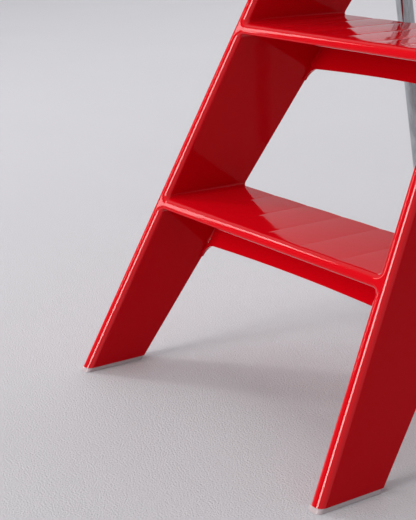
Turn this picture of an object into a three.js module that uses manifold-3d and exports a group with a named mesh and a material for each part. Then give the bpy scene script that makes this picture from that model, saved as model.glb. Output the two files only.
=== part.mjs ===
// Folding step ladder: a one-piece moulded front frame with two fixed treads and a hand hoop,
// a lifting standing platform, and a rear frame bent from chromed tube.
// Units are millimetres, +Z is up, +Y points to the back, +X to the right.
import * as THREE from "three";
import { mergeVertices } from "three/addons/utils/BufferGeometryUtils.js";
import Module from "manifold-3d";

const wasm = await Module();
wasm.setup();

// ---- overall sizes -------------------------------------------------------------------------
const TREAD_TOPS = [225, 445];
const PLATFORM_TOP = 665;
const HOOP_TOP = 1000;
const HALF_WIDTH_AT_FLOOR = 254;
const CONVERGENCE = 0.113;
const FRONT_LEAN = 0.5037;
const REAR_LEAN = 0.6855;
const FOOT_DEPTH = 85.5;
const FIT = 0.3;

// ---- moulded front frame -------------------------------------------------------------------
const PANEL = 19.5;
const PANEL_WALL = 3.5;
const RIM = 12;
const EDGE_RADIUS = 6;
const OPENING_CORNER = 5;
const NOSING = 13;
const SKIN = 4;
const APRON = { drops: [71.5, 65], rise: 3.5, wall: 4.5, corner: 16 };
const RIB = 3;
const TREAD_BAYS = 6;
const ARM_DEPTH = 50;
const GRIP_HEIGHT = 26;
const HOOP_OUTER_CORNER = 90;
const HOOP_INNER_CORNER = 70;
const POCKET_LEVELS = [9, 84, 159, 234, 309, 384, 459, 534, 606, 665, 735, 815, 900];
const PAD_HEIGHT = 5;

// ---- pivots --------------------------------------------------------------------------------
const LEG_PIVOT = { y: 499.9, z: 580 };
const PLATFORM_PIVOT = { y: 362, z: 648 };
const BOLT_R = 4;
const HOLE_R = BOLT_R + FIT;

// ---- rear frame ----------------------------------------------------------------------------
const TUBE_R = 12.5;
const TUBE_WALL = 1.5;
const LEG_HALF_AT_FLOOR = 274;
const LEG_Y_AT_FLOOR = 660;
const LEG_LEAN = 0.276;
const BAR_Z = 17.5;
const BEND_RADIUS = 48;
const LEG_ABOVE_PIVOT = 33;
const ROD_R = 5;
const ROD_BELOW_PIVOT = 80;
const SHOE = { x: 196, length: 58, halfDepth: 15.5, top: 21 };

// ---- platform ------------------------------------------------------------------------------
const PLATFORM = { half: 157.8, front: 337, back: 585, depth: 30, wall: 4, backCorner: 26 };
const LEDGE = { front: 400, back: 522, reach: 16, top: 632.4, drop: 27 };
const REST_PAD = 1.9;

const SPAN_Y = LEG_Y_AT_FLOOR - LEG_LEAN * BAR_Z + SHOE.halfDepth;
const ORIGIN_Y = SPAN_Y / 2;

const AXES_FRONT_VIEW = new THREE.Matrix4().makeBasis(
  new THREE.Vector3(1, 0, 0), new THREE.Vector3(0, 0, 1), new THREE.Vector3(0, -1, 0));
const AXES_SIDE_VIEW = new THREE.Matrix4().makeBasis(
  new THREE.Vector3(0, 1, 0), new THREE.Vector3(0, 0, 1), new THREE.Vector3(1, 0, 0));

const outerHalf = (z) => HALF_WIDTH_AT_FLOOR - CONVERGENCE * Math.min(z, PLATFORM_TOP);
const innerHalf = (z) => outerHalf(z) - PANEL;
const frontY = (z) => FRONT_LEAN * z;
const rearY = (z) => FOOT_DEPTH + REAR_LEAN * z;
const legX = (z) => LEG_HALF_AT_FLOOR - CONVERGENCE * z;
const legY = (z) => LEG_Y_AT_FLOOR - LEG_LEAN * z;

// ---- solids --------------------------------------------------------------------------------
function solid(geometry) {
  const bare = geometry.clone();
  bare.deleteAttribute("normal");
  bare.deleteAttribute("uv");
  const welded = mergeVertices(bare, 1e-4);
  return new wasm.Manifold(new wasm.Mesh({
    numProp: 3,
    vertProperties: new Float32Array(welded.attributes.position.array),
    triVerts: new Uint32Array(welded.index.array),
  }));
}

function geometryOf(body) {
  const mesh = body.getMesh();
  const geometry = new THREE.BufferGeometry();
  geometry.setAttribute("position", new THREE.BufferAttribute(new Float32Array(mesh.vertProperties), 3));
  geometry.setIndex(new THREE.BufferAttribute(new Uint32Array(mesh.triVerts), 1));
  return geometry;
}

function mirrored(geometry) {
  const copy = geometry.index ? geometry.clone() : mergeVertices(geometry.clone());
  copy.scale(-1, 1, 1);
  const index = Array.from(copy.index.array);
  for (let i = 0; i < index.length; i += 3) {
    [index[i], index[i + 1]] = [index[i + 1], index[i]];
  }
  copy.setIndex(index);
  return copy;
}

// A closed outline through corners [a, b, radius]; each corner becomes a short arc.
function outline(corners, degreesPerStep = 15) {
  const points = [];
  corners.forEach(([a, b, radius = 0], i) => {
    const here = new THREE.Vector2(a, b);
    const before = new THREE.Vector2(...corners.at(i - 1).slice(0, 2)).sub(here).normalize();
    const after = new THREE.Vector2(...corners[(i + 1) % corners.length].slice(0, 2)).sub(here).normalize();
    const half = Math.acos(THREE.MathUtils.clamp(before.dot(after), -1, 1)) / 2;
    const turn = Math.PI - 2 * half;
    if (radius === 0 || turn < 0.01) {
      points.push(here);
      return;
    }
    const centre = before.clone().add(after).normalize().multiplyScalar(radius / Math.sin(half)).add(here);
    const start = before.multiplyScalar(radius / Math.tan(half)).add(here);
    const sign = Math.sign(start.clone().sub(centre).cross(here.clone().sub(centre)));
    const steps = Math.max(2, Math.ceil(THREE.MathUtils.radToDeg(turn) / degreesPerStep));
    for (let k = 0; k <= steps; k += 1) {
      points.push(start.clone().rotateAround(centre, (sign * turn * k) / steps));
    }
  });
  return points;
}

// A front-view outline (x, z) pushed back along Y from y0 to y1, leaning with the front face.
function leaning(shape, y0, y1, lean = FRONT_LEAN, bevel = 0) {
  const geometry = new THREE.ExtrudeGeometry(shape, {
    depth: y1 - y0 - 2 * bevel,
    bevelEnabled: bevel > 0,
    bevelThickness: bevel,
    bevelSize: bevel,
    bevelOffset: -bevel,
    bevelSegments: 4,
  });
  geometry.applyMatrix4(AXES_FRONT_VIEW);
  geometry.translate(0, y1 - bevel, 0);
  geometry.applyMatrix4(new THREE.Matrix4().makeShear(0, 0, 0, 0, 0, lean));
  return geometry;
}

// A side-view outline (y, z) spread along X from x0 to x1.
function across(points, x0, x1) {
  const geometry = new THREE.ExtrudeGeometry(new THREE.Shape(points), { depth: x1 - x0, bevelEnabled: false });
  geometry.applyMatrix4(AXES_SIDE_VIEW);
  geometry.translate(x0, 0, 0);
  return geometry;
}

function block(x0, x1, y0, y1, z0, z1) {
  const geometry = new THREE.BoxGeometry(x1 - x0, y1 - y0, z1 - z0);
  geometry.translate((x0 + x1) / 2, (y0 + y1) / 2, (z0 + z1) / 2);
  return geometry;
}

function roundBar(radius, x0, x1, y, z, sides = 24) {
  const geometry = new THREE.CylinderGeometry(radius, radius, x1 - x0, sides);
  geometry.rotateZ(Math.PI / 2);
  geometry.translate((x0 + x1) / 2, y, z);
  return geometry;
}

// A closed profile [radius, distance] turned about the X axis; distance grows with +X.
function turnedAlongX(profile, y, z, sides = 24) {
  const closed = [...profile, profile[0]].map(([r, d]) => new THREE.Vector2(r, d));
  const geometry = new THREE.LatheGeometry(closed, sides);
  geometry.rotateZ(-Math.PI / 2);
  geometry.translate(0, y, z);
  return geometry;
}

function bothSides(geometry) {
  return [solid(geometry), solid(mirrored(geometry))];
}

// ---- moulded front frame -------------------------------------------------------------------
// The whole frame seen from the front. Its feet run on below the floor, and sideView trims them.
function frontView() {
  const foot = -20;
  const underTread = TREAD_TOPS[0] - NOSING;
  const right = [
    [innerHalf(foot), foot],
    [outerHalf(foot), foot],
    [outerHalf(PLATFORM_TOP), PLATFORM_TOP, 500],
    [outerHalf(HOOP_TOP), HOOP_TOP, HOOP_OUTER_CORNER],
  ];
  const left = right.map(([x, z, r]) => [-x, z, r]).reverse();
  const shape = new THREE.Shape(outline([
    ...right,
    ...left,
    [-innerHalf(underTread), underTread, OPENING_CORNER],
    [innerHalf(underTread), underTread, OPENING_CORNER],
  ]));
  const stepGap = [TREAD_TOPS[0], TREAD_TOPS[1] - NOSING];
  shape.holes.push(new THREE.Path(outline([
    [-innerHalf(stepGap[0]), stepGap[0], OPENING_CORNER],
    [innerHalf(stepGap[0]), stepGap[0], OPENING_CORNER],
    [innerHalf(stepGap[1]), stepGap[1], OPENING_CORNER],
    [-innerHalf(stepGap[1]), stepGap[1], OPENING_CORNER],
  ])));
  const grip = HOOP_TOP - GRIP_HEIGHT;
  shape.holes.push(new THREE.Path(outline([
    [-innerHalf(TREAD_TOPS[1]), TREAD_TOPS[1], OPENING_CORNER],
    [innerHalf(TREAD_TOPS[1]), TREAD_TOPS[1], OPENING_CORNER],
    [innerHalf(PLATFORM_TOP), PLATFORM_TOP, 500],
    [innerHalf(grip), grip, HOOP_INNER_CORNER],
    [-innerHalf(grip), grip, HOOP_INNER_CORNER],
    [-innerHalf(PLATFORM_TOP), PLATFORM_TOP, 500],
  ])));
  return shape;
}

// The frame seen from the side: sloping back edge, ear for the leg pivot, cheek, slim hoop arm.
function sideView() {
  const foot = PAD_HEIGHT + FIT;
  const waist = 752;
  return outline([
    [-60, foot],
    [rearY(foot), foot],
    [rearY(548), 548, 30],
    [LEG_PIVOT.y + 24, LEG_PIVOT.z - 6, 20],
    [550, 660, 22],
    [frontY(waist) + ARM_DEPTH, waist, 110],
    [frontY(HOOP_TOP + 20) + ARM_DEPTH, HOOP_TOP + 20],
    [frontY(HOOP_TOP) - 200, HOOP_TOP + 20],
  ]);
}

// The band that an apron lies in, just inside the sloping rear face.
function apron(top) {
  const low = top - APRON.drops[TREAD_TOPS.indexOf(top)];
  const side = innerHalf(low) + PANEL_WALL / 2;
  const inner = innerHalf(low) - APRON.corner;
  const points = [];
  const arch = 12;
  for (let i = 0; i <= arch; i += 1) {
    const u = (2 * i) / arch - 1;
    points.push(new THREE.Vector2(u * inner, low - APRON.rise * u * u));
  }
  const corner = 4;
  const fillet = (sign) => {
    const found = [];
    for (let i = 0; i <= corner; i += 1) {
      const angle = (Math.PI / 2) * (i / corner);
      found.push(new THREE.Vector2(
        sign * (innerHalf(low) - APRON.corner + APRON.corner * Math.sin(angle)),
        low - APRON.rise - APRON.corner + APRON.corner * Math.cos(angle)));
    }
    return found;
  };
  const shape = new THREE.Shape([
    new THREE.Vector2(-side, low - APRON.rise - APRON.corner),
    ...fillet(-1).reverse(),
    ...points.slice(1, -1),
    ...fillet(1),
    new THREE.Vector2(side, low - APRON.rise - APRON.corner),
    new THREE.Vector2(innerHalf(top) + PANEL_WALL / 2, top - SKIN / 2),
    new THREE.Vector2(-innerHalf(top) - PANEL_WALL / 2, top - SKIN / 2),
  ]);
  const curtain = solid(leaning(shape, 0, 500, 0));
  const bottom = low - 40;
  const band = solid(across([
    new THREE.Vector2(rearY(bottom) - APRON.wall, bottom),
    new THREE.Vector2(rearY(bottom), bottom),
    new THREE.Vector2(rearY(top), top),
    new THREE.Vector2(rearY(top) - APRON.wall, top),
  ], -300, 300));
  return curtain.intersect(band);
}

// Hollows under a tread, divided by ribs that run from the nosing to the apron.
function treadBays(top) {
  const roof = top - SKIN;
  const floor = top - NOSING - 6;
  const half = innerHalf(top) - RIB;
  const pitch = (2 * half + RIB) / TREAD_BAYS;
  const side = [
    new THREE.Vector2(frontY(floor) + RIM, floor),
    new THREE.Vector2(rearY(floor) - APRON.wall, floor),
    new THREE.Vector2(rearY(roof) - APRON.wall, roof),
    new THREE.Vector2(frontY(roof) + RIM, roof),
  ];
  const bays = [];
  for (let i = 0; i < TREAD_BAYS; i += 1) {
    const x0 = -half + i * pitch;
    bays.push(solid(across(side, x0, x0 + pitch - RIB)));
  }
  return bays;
}

// Hollows in a side panel, open at the back and divided by cross ribs.
function panelPockets() {
  const pockets = [];
  for (let i = 0; i + 1 < POCKET_LEVELS.length; i += 1) {
    const low = POCKET_LEVELS[i] + RIB / 2;
    const high = POCKET_LEVELS[i + 1] - RIB / 2;
    const shape = new THREE.Shape([
      new THREE.Vector2(innerHalf(low) + PANEL_WALL, low),
      new THREE.Vector2(outerHalf(low) - PANEL_WALL, low),
      new THREE.Vector2(outerHalf(high) - PANEL_WALL, high),
      new THREE.Vector2(innerHalf(high) + PANEL_WALL, high),
    ]);
    pockets.push(leaning(shape, RIM, 400));
  }
  return pockets;
}

function frontFrame() {
  const raw = solid(leaning(frontView(), 0, 420, FRONT_LEAN, EDGE_RADIUS));
  const moulding = raw.intersect(solid(across(sideView(), -320, 320)));
  const bosses = wasm.Manifold.union([
    solid(roundBar(16, -240, 240, LEG_PIVOT.y, LEG_PIVOT.z)),
    solid(roundBar(13, -240, 240, PLATFORM_PIVOT.y, PLATFORM_PIVOT.z)),
  ]);
  const hollows = wasm.Manifold.union(panelPockets().flatMap(bothSides)).subtract(bosses);
  const gripPocket = solid(leaning(new THREE.Shape(outline([
    [-85, HOOP_TOP - GRIP_HEIGHT + PANEL_WALL, 4],
    [85, HOOP_TOP - GRIP_HEIGHT + PANEL_WALL, 4],
    [85, HOOP_TOP - PANEL_WALL, 4],
    [-85, HOOP_TOP - PANEL_WALL, 4],
  ])), RIM, 400));
  const earOuter = outerHalf(LEG_PIVOT.z);
  const earInner = innerHalf(LEG_PIVOT.z);
  const additions = [
    ...bothSides(roundBar(14, earOuter - 2.6, earOuter + 2.2, LEG_PIVOT.y, LEG_PIVOT.z)),
    ...bothSides(roundBar(14, earInner - 2.2, earInner + 2.6, LEG_PIVOT.y, LEG_PIVOT.z)),
    ...bothSides(stopLug()),
    ...bothSides(ledge()),
  ];
  const drilled = [
    ...bothSides(roundBar(HOLE_R, 140, 240, LEG_PIVOT.y, LEG_PIVOT.z)),
    ...bothSides(roundBar(HOLE_R, 140, 240, PLATFORM_PIVOT.y, PLATFORM_PIVOT.z)),
    ...bothSides(roundBar(9.3, 179.2, 240, PLATFORM_PIVOT.y, PLATFORM_PIVOT.z)),
  ];
  return moulding
    .subtract(hollows)
    .subtract(gripPocket)
    .subtract(wasm.Manifold.union(TREAD_TOPS.flatMap(treadBays)))
    .add(wasm.Manifold.union(TREAD_TOPS.map(apron)))
    .add(wasm.Manifold.union(additions))
    .subtract(wasm.Manifold.union(drilled));
}

// The block on the outer cheek that the top of a leg comes to rest against.
function stopLug() {
  const length = Math.hypot(1, LEG_LEAN);
  const along = new THREE.Vector2(-LEG_LEAN, 1).divideScalar(length);
  const back = new THREE.Vector2(1, LEG_LEAN).divideScalar(length);
  const at = (s, n) => [
    LEG_PIVOT.y + along.x * s + back.x * n,
    LEG_PIVOT.z + along.y * s + back.y * n,
  ];
  const front = -TUBE_R - FIT;
  const points = outline([
    [...at(12, front), 2],
    [...at(31, front), 4],
    [...at(31, front - 13), 6],
    [...at(8, front - 15), 6],
  ]);
  return across(points, outerHalf(LEG_PIVOT.z + 20) - 2.4, legX(LEG_PIVOT.z + 20) + 1);
}

// The shelf inside a cheek that carries one side of the platform.
function ledge() {
  const top = LEDGE.top;
  const shape = new THREE.Shape(outline([
    [innerHalf(top) + 1.5, top],
    [innerHalf(top) - LEDGE.reach, top, 1.5],
    [innerHalf(top) - LEDGE.reach, top - 6, 3],
    [innerHalf(top - LEDGE.drop) + 1.5, top - LEDGE.drop],
  ].reverse(), 30));
  return leaning(shape, LEDGE.front, LEDGE.back, 0);
}

// A clear sole under a front foot, following the foot's leaning outline.
function frontPad() {
  const z = PAD_HEIGHT;
  const x0 = innerHalf(0);
  const x1 = outerHalf(0);
  const geometry = new THREE.ExtrudeGeometry(new THREE.Shape(outline([
    [x0, 0, EDGE_RADIUS],
    [x1, 0, EDGE_RADIUS],
    [x1, FOOT_DEPTH, 1.5],
    [x0, FOOT_DEPTH, 1.5],
  ])), { depth: z, bevelEnabled: false });
  geometry.applyMatrix4(new THREE.Matrix4().makeShear(0, 0, 0, 0, -CONVERGENCE, FRONT_LEAN));
  return geometry;
}

// The strip that closes the hollow back of the hand hoop.
function gripCover() {
  const low = HOOP_TOP - GRIP_HEIGHT + PANEL_WALL + FIT;
  const high = HOOP_TOP - PANEL_WALL - FIT;
  const shape = new THREE.Shape(outline([
    [-85 + FIT, low, 4],
    [85 - FIT, low, 4],
    [85 - FIT, high, 4],
    [-85 + FIT, high, 4],
  ]));
  return leaning(shape, ARM_DEPTH - 4, ARM_DEPTH - 0.5);
}

// ---- platform ------------------------------------------------------------------------------
function platform() {
  const { half, front, back, depth, wall, backCorner } = PLATFORM;
  const geometry = new THREE.ExtrudeGeometry(new THREE.Shape(outline([
    [-half, front, 8],
    [half, front, 8],
    [half, back, backCorner],
    [-half, back, backCorner],
  ])), {
    depth: depth,
    bevelEnabled: true,
    bevelThickness: EDGE_RADIUS,
    bevelSize: EDGE_RADIUS,
    bevelOffset: -EDGE_RADIUS,
    bevelSegments: 4,
  });
  geometry.translate(0, 0, PLATFORM_TOP - depth - EDGE_RADIUS);
  const under = PLATFORM_TOP - depth;
  const bays = [];
  const columns = 6;
  const rows = 3;
  const pitchX = (2 * half - wall) / columns;
  const pitchY = (back - front - wall) / rows;
  for (let i = 0; i < columns; i += 1) {
    for (let j = 0; j < rows; j += 1) {
      const x0 = -half + wall + i * pitchX;
      const y0 = front + wall + j * pitchY;
      const outerCorner = j === rows - 1 && (i === 0 || i === columns - 1);
      const trim = outerCorner ? 10 : 0;
      bays.push(solid(block(
        x0 + (i === 0 ? trim : 0),
        x0 + pitchX - wall - (i === columns - 1 ? trim : 0),
        y0,
        y0 + pitchY - wall - trim,
        under - 10,
        PLATFORM_TOP - SKIN)));
    }
  }
  const bosses = bothSides(roundBar(10, half - 24, half + 5, PLATFORM_PIVOT.y, PLATFORM_PIVOT.z));
  const hollow = wasm.Manifold.union(bays).subtract(wasm.Manifold.union(bosses));
  return solid(geometry)
    .subtract(solid(block(-400, 400, 0, 800, under - 50, under)))
    .subtract(hollow)
    .subtract(wasm.Manifold.union(bothSides(
      roundBar(HOLE_R, half - 20, half + 20, PLATFORM_PIVOT.y, PLATFORM_PIVOT.z))));
}

function platformPin() {
  const inner = PLATFORM.half - 18;
  const seat = 179.2 + FIT;
  return turnedAlongX([
    [0, inner],
    [BOLT_R - 0.8, inner],
    [BOLT_R, inner + 0.8],
    [BOLT_R, seat],
    [9, seat],
    [9, seat + 1.6],
    [6.5, seat + 3.2],
    [0, seat + 3.8],
  ], PLATFORM_PIVOT.y, PLATFORM_PIVOT.z);
}

function restPad() {
  const outer = innerHalf(LEDGE.top) - 3;
  const geometry = new THREE.ExtrudeGeometry(new THREE.Shape(outline([
    [outer - 12, LEDGE.front + 6, 3],
    [outer, LEDGE.front + 6, 3],
    [outer, LEDGE.back - 6, 3],
    [outer - 12, LEDGE.back - 6, 3],
  ], 30)), { depth: REST_PAD, bevelEnabled: false });
  geometry.translate(0, 0, LEDGE.top + FIT);
  return geometry;
}

// ---- rear frame ----------------------------------------------------------------------------
// A run of tube given by stations, each with its own point and direction.
class BentRun extends THREE.Curve {
  constructor(stations) {
    super();
    this.stations = stations;
  }

  getPoint(t) {
    return this.stations[Math.round(t * (this.stations.length - 1))].point.clone();
  }

  getSpacedPoints() {
    return this.stations.map((station) => station.point.clone());
  }

  getTangentAt(u) {
    return this.stations[Math.round(u * (this.stations.length - 1))].tangent.clone();
  }
}

function bentRun(corners, radius, stepsPerBend) {
  const stations = [];
  corners.forEach((corner, i) => {
    if (i === 0 || i === corners.length - 1) {
      const other = i === 0 ? corners[1] : corners[i - 1];
      const tangent = i === 0 ? other.clone().sub(corner) : corner.clone().sub(other);
      stations.push({ point: corner.clone(), tangent: tangent.normalize() });
      return;
    }
    const arriving = corner.clone().sub(corners[i - 1]).normalize();
    const leaving = corners[i + 1].clone().sub(corner).normalize();
    const turn = arriving.angleTo(leaving);
    const axis = arriving.clone().cross(leaving).normalize();
    const start = corner.clone().addScaledVector(arriving, -radius * Math.tan(turn / 2));
    const inward = axis.clone().cross(arriving);
    const centre = start.clone().addScaledVector(inward, radius);
    for (let k = 0; k <= stepsPerBend; k += 1) {
      const angle = (turn * k) / stepsPerBend;
      const spoke = start.clone().sub(centre).applyAxisAngle(axis, angle);
      stations.push({
        point: centre.clone().add(spoke),
        tangent: arriving.clone().applyAxisAngle(axis, angle),
      });
    }
  });
  return new BentRun(stations);
}

function legTopZ() {
  return LEG_PIVOT.z + LEG_ABOVE_PIVOT / Math.hypot(1, LEG_LEAN);
}

function rearLegTube() {
  const corner = (side, z) => new THREE.Vector3(side * legX(z), legY(z), z);
  const run = bentRun(
    [corner(-1, legTopZ()), corner(-1, BAR_Z), corner(1, BAR_Z), corner(1, legTopZ())], BEND_RADIUS, 8);
  const circle = (radius) => outline([0, 1, 2, 3].map((k) => {
    const angle = (Math.PI / 2) * k + Math.PI / 4;
    return [radius * Math.SQRT2 * Math.cos(angle), radius * Math.SQRT2 * Math.sin(angle), radius * 0.9999];
  }), 18);
  const ring = new THREE.Shape(circle(TUBE_R));
  ring.holes.push(new THREE.Path(circle(TUBE_R - TUBE_WALL)));
  const tube = solid(new THREE.ExtrudeGeometry(ring, {
    steps: run.stations.length - 1,
    extrudePath: run,
    bevelEnabled: false,
  }));
  const rod = rodCentre();
  const holes = [
    ...bothSides(roundBar(HOLE_R, 160, 260, LEG_PIVOT.y, LEG_PIVOT.z)),
    ...bothSides(roundBar(ROD_R + FIT, 160, 280, rod.y, rod.z)),
  ];
  return tube.subtract(wasm.Manifold.union(holes));
}

function rodCentre() {
  const z = LEG_PIVOT.z - ROD_BELOW_PIVOT / Math.hypot(1, LEG_LEAN);
  return { x: legX(z), y: legY(z), z };
}

function braceRod() {
  const { x, y, z } = rodCentre();
  const end = x + TUBE_R + 8;
  return turnedAlongX([
    [0, -end],
    [ROD_R - 1, -end],
    [ROD_R, -end + 1],
    [ROD_R, end - 1],
    [ROD_R - 1, end],
    [0, end],
  ], y, z);
}

function rodCap() {
  const { x, y, z } = rodCentre();
  const seat = x + TUBE_R + 1;
  const end = x + TUBE_R + 8 + FIT;
  return turnedAlongX([
    [ROD_R + FIT, seat],
    [9, seat],
    [9, seat + 4],
    [7, end + 0.6],
    [4, end + 1.8],
    [0, end + 2.2],
    [0, end],
    [ROD_R + FIT, end],
  ], y, z);
}

// A plug in the open top of a leg: a domed head and a spigot inside the tube.
function tubeEndCap() {
  const bore = TUBE_R - TUBE_WALL - FIT;
  const profile = [
    [0, -12],
    [bore - 1, -12],
    [bore, -11],
    [bore, FIT],
    [TUBE_R, FIT],
    [TUBE_R, 2.5],
    [TUBE_R - 1.6, 5.2],
    [TUBE_R - 5, 7.4],
    [0, 8.6],
  ];
  const closed = [...profile, profile[0]].map(([r, d]) => new THREE.Vector2(r, d));
  const geometry = new THREE.LatheGeometry(closed, 24);
  const direction = new THREE.Vector3(-CONVERGENCE, -LEG_LEAN, 1).normalize();
  geometry.applyQuaternion(new THREE.Quaternion().setFromUnitVectors(new THREE.Vector3(0, 1, 0), direction));
  geometry.translate(legX(legTopZ()), legY(legTopZ()), legTopZ());
  return geometry;
}

function legBolt() {
  const seat = legX(LEG_PIVOT.z) + TUBE_R + 1.6;
  return turnedAlongX([
    [0, innerHalf(LEG_PIVOT.z) - 8],
    [BOLT_R - 0.6, innerHalf(LEG_PIVOT.z) - 8],
    [BOLT_R, innerHalf(LEG_PIVOT.z) - 7.4],
    [BOLT_R, seat],
    [9.5, seat],
    [9.5, seat + 1.4],
    [7.6, seat + 3.6],
    [4, seat + 5],
    [0, seat + 5.4],
  ], LEG_PIVOT.y, LEG_PIVOT.z);
}

// A cap nut on the inner end of a leg bolt.
function legNut() {
  const seat = innerHalf(LEG_PIVOT.z) - 2.2 - FIT;
  const hexagon = solid(roundBar(7.5, seat - 6.5, seat, LEG_PIVOT.y, LEG_PIVOT.z, 6));
  const dome = solid(turnedAlongX([
    [0, seat - 3],
    [0, seat - 12],
    [3.2, seat - 11.4],
    [5.4, seat - 9.4],
    [6, seat - 6.6],
    [6, seat - 3],
  ], LEG_PIVOT.y, LEG_PIVOT.z));
  const bore = solid(roundBar(BOLT_R + 0.2, innerHalf(LEG_PIVOT.z) - 8.5, seat + 5, LEG_PIVOT.y, LEG_PIVOT.z));
  return hexagon.add(dome).subtract(bore);
}

function legSpacer() {
  const inner = outerHalf(LEG_PIVOT.z) + 2.2 + FIT;
  const outer = legX(LEG_PIVOT.z) - TUBE_R - 1.8;
  return turnedAlongX([
    [HOLE_R, inner],
    [11, inner],
    [11, outer],
    [HOLE_R, outer],
  ], LEG_PIVOT.y, LEG_PIVOT.z);
}

// A shoe clipped round the floor bar near one of its ends.
function rearFoot() {
  const y = legY(BAR_Z);
  const shoe = solid(across(outline([
    [y - SHOE.halfDepth, 0, 2],
    [y + SHOE.halfDepth, 0, 2],
    [y + SHOE.halfDepth, SHOE.top, 3],
    [y - SHOE.halfDepth, SHOE.top, 3],
  ], 30), SHOE.x - SHOE.length / 2, SHOE.x + SHOE.length / 2));
  const bore = solid(roundBar(TUBE_R + FIT, 0, 400, y, BAR_Z, 32));
  const mouth = solid(block(0, 400, y - TUBE_R, y + TUBE_R, BAR_Z + 2, 60));
  return shoe.subtract(bore).subtract(mouth);
}

// ---- finishes ------------------------------------------------------------------------------
const FINISH = {
  red: { color: 0xb3121f, roughness: 0.14, metalness: 0 },
  chrome: { color: 0xc9ccd1, roughness: 0.08, metalness: 1 },
  steel: { color: 0xa9acb0, roughness: 0.3, metalness: 1 },
  clear: { color: 0xd8b9bd, roughness: 0.12, metalness: 0 },
  grey: { color: 0x6d6f73, roughness: 0.6, metalness: 0 },
  dark: { color: 0x2b2c2e, roughness: 0.75, metalness: 0 },
};

const ladder = new THREE.Group();

function place(name, shape, finish) {
  const geometry = shape instanceof THREE.BufferGeometry ? shape : geometryOf(shape);
  geometry.translate(0, -ORIGIN_Y, 0);
  const mesh = new THREE.Mesh(geometry, new THREE.MeshStandardMaterial(FINISH[finish]));
  mesh.name = name;
  ladder.add(mesh);
}

function placePair(name, shape, finish) {
  const right = shape instanceof THREE.BufferGeometry ? shape : geometryOf(shape);
  const left = mirrored(right);
  place(`${name}_right`, right, finish);
  place(`${name}_left`, left, finish);
}

place("front_frame", frontFrame(), "red");
place("grip_cover", gripCover(), "red");
place("platform", platform(), "red");
place("rear_leg_tube", rearLegTube(), "chrome");
place("brace_rod", braceRod(), "steel");
placePair("front_pad", frontPad(), "clear");
placePair("platform_pin", platformPin(), "steel");
placePair("rest_pad", restPad(), "dark");
placePair("tube_end_cap", tubeEndCap(), "grey");
placePair("rod_cap", rodCap(), "grey");
placePair("leg_bolt", legBolt(), "steel");
placePair("leg_nut", legNut(), "steel");
placePair("leg_spacer", legSpacer(), "grey");
placePair("rear_foot", rearFoot(), "grey");

export default ladder;
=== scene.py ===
"""Studio model of a folding step ladder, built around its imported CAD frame."""

from __future__ import annotations

import logging
import math
from dataclasses import dataclass, field
from enum import Enum
from typing import Callable, ClassVar, Iterable, Sequence

import bmesh
import bpy
from mathutils import Matrix, Quaternion, Vector
from mathutils.geometry import delaunay_2d_cdt


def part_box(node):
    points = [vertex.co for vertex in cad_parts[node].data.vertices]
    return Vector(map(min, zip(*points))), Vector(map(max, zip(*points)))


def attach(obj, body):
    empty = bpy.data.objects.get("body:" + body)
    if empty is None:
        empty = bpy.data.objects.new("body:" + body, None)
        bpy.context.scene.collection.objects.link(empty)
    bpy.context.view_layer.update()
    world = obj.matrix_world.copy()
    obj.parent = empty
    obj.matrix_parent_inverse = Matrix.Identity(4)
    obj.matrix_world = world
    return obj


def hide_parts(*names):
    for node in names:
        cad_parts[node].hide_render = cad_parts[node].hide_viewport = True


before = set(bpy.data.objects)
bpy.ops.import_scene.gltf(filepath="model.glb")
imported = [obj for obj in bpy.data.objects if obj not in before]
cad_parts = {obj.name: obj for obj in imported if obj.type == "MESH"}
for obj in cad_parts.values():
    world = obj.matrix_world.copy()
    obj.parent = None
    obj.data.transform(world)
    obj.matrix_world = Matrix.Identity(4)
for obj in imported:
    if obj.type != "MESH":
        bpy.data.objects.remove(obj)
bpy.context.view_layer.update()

log = logging.getLogger("ladder")
MM = 0.001
DATUM_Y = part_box("front_pad_right")[0].y

CONVERGE = 0.113
FRONT_LEAN = 0.5037
REAR_LEAN = 0.6855
LEG_LEAN = 0.276
COARSE = 400.0

Point2 = tuple[float, float]
Point3 = tuple[float, float, float]


def at(x: float, y: float, z: float) -> Vector:
    """Turns workshop millimetres, with y counted from the front edge of the feet, into the frame's metres."""
    return Vector((x * MM, y * MM + DATUM_Y, z * MM))


# ---------------------------------------------------------------------------------------------
# Shader toolkit
# ---------------------------------------------------------------------------------------------


class Value:
    """A number socket that adds Math nodes when it is used in an expression."""

    def __init__(self, bench: "Bench", socket: bpy.types.NodeSocket) -> None:
        """Keeps the bench and the socket."""
        self.bench = bench
        self.socket = socket

    def _math(self, operation: str, *values: "Value | float") -> "Value":
        """Adds one Math node.

        Args:
            operation: Name of the Math node's operation.
            values: Operands in the order of the node's sockets.

        Returns:
            The node's result.
        """
        made = self.bench.node("ShaderNodeMath", {"operation": operation}, dict(enumerate(values)))
        return Value(self.bench, made.outputs[0])

    def __add__(self, other: "Value | float") -> "Value":
        """Sum."""
        return self._math("ADD", self, other)

    def __radd__(self, other: float) -> "Value":
        """Sum with the number first."""
        return self._math("ADD", other, self)

    def __sub__(self, other: "Value | float") -> "Value":
        """Difference."""
        return self._math("SUBTRACT", self, other)

    def __rsub__(self, other: float) -> "Value":
        """Difference with the number first."""
        return self._math("SUBTRACT", other, self)

    def __mul__(self, other: "Value | float") -> "Value":
        """Product."""
        return self._math("MULTIPLY", self, other)

    def __rmul__(self, other: float) -> "Value":
        """Product with the number first."""
        return self._math("MULTIPLY", other, self)

    def magnitude(self) -> "Value":
        """The value without its sign."""
        return self._math("ABSOLUTE", self)

    def clamped(self) -> "Value":
        """The value kept between 0 and 1."""
        return self._math("MINIMUM", self._math("MAXIMUM", self, 0.0), 1.0)


Socketable = "Value | bpy.types.NodeSocket | float | Sequence[float]"


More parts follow.
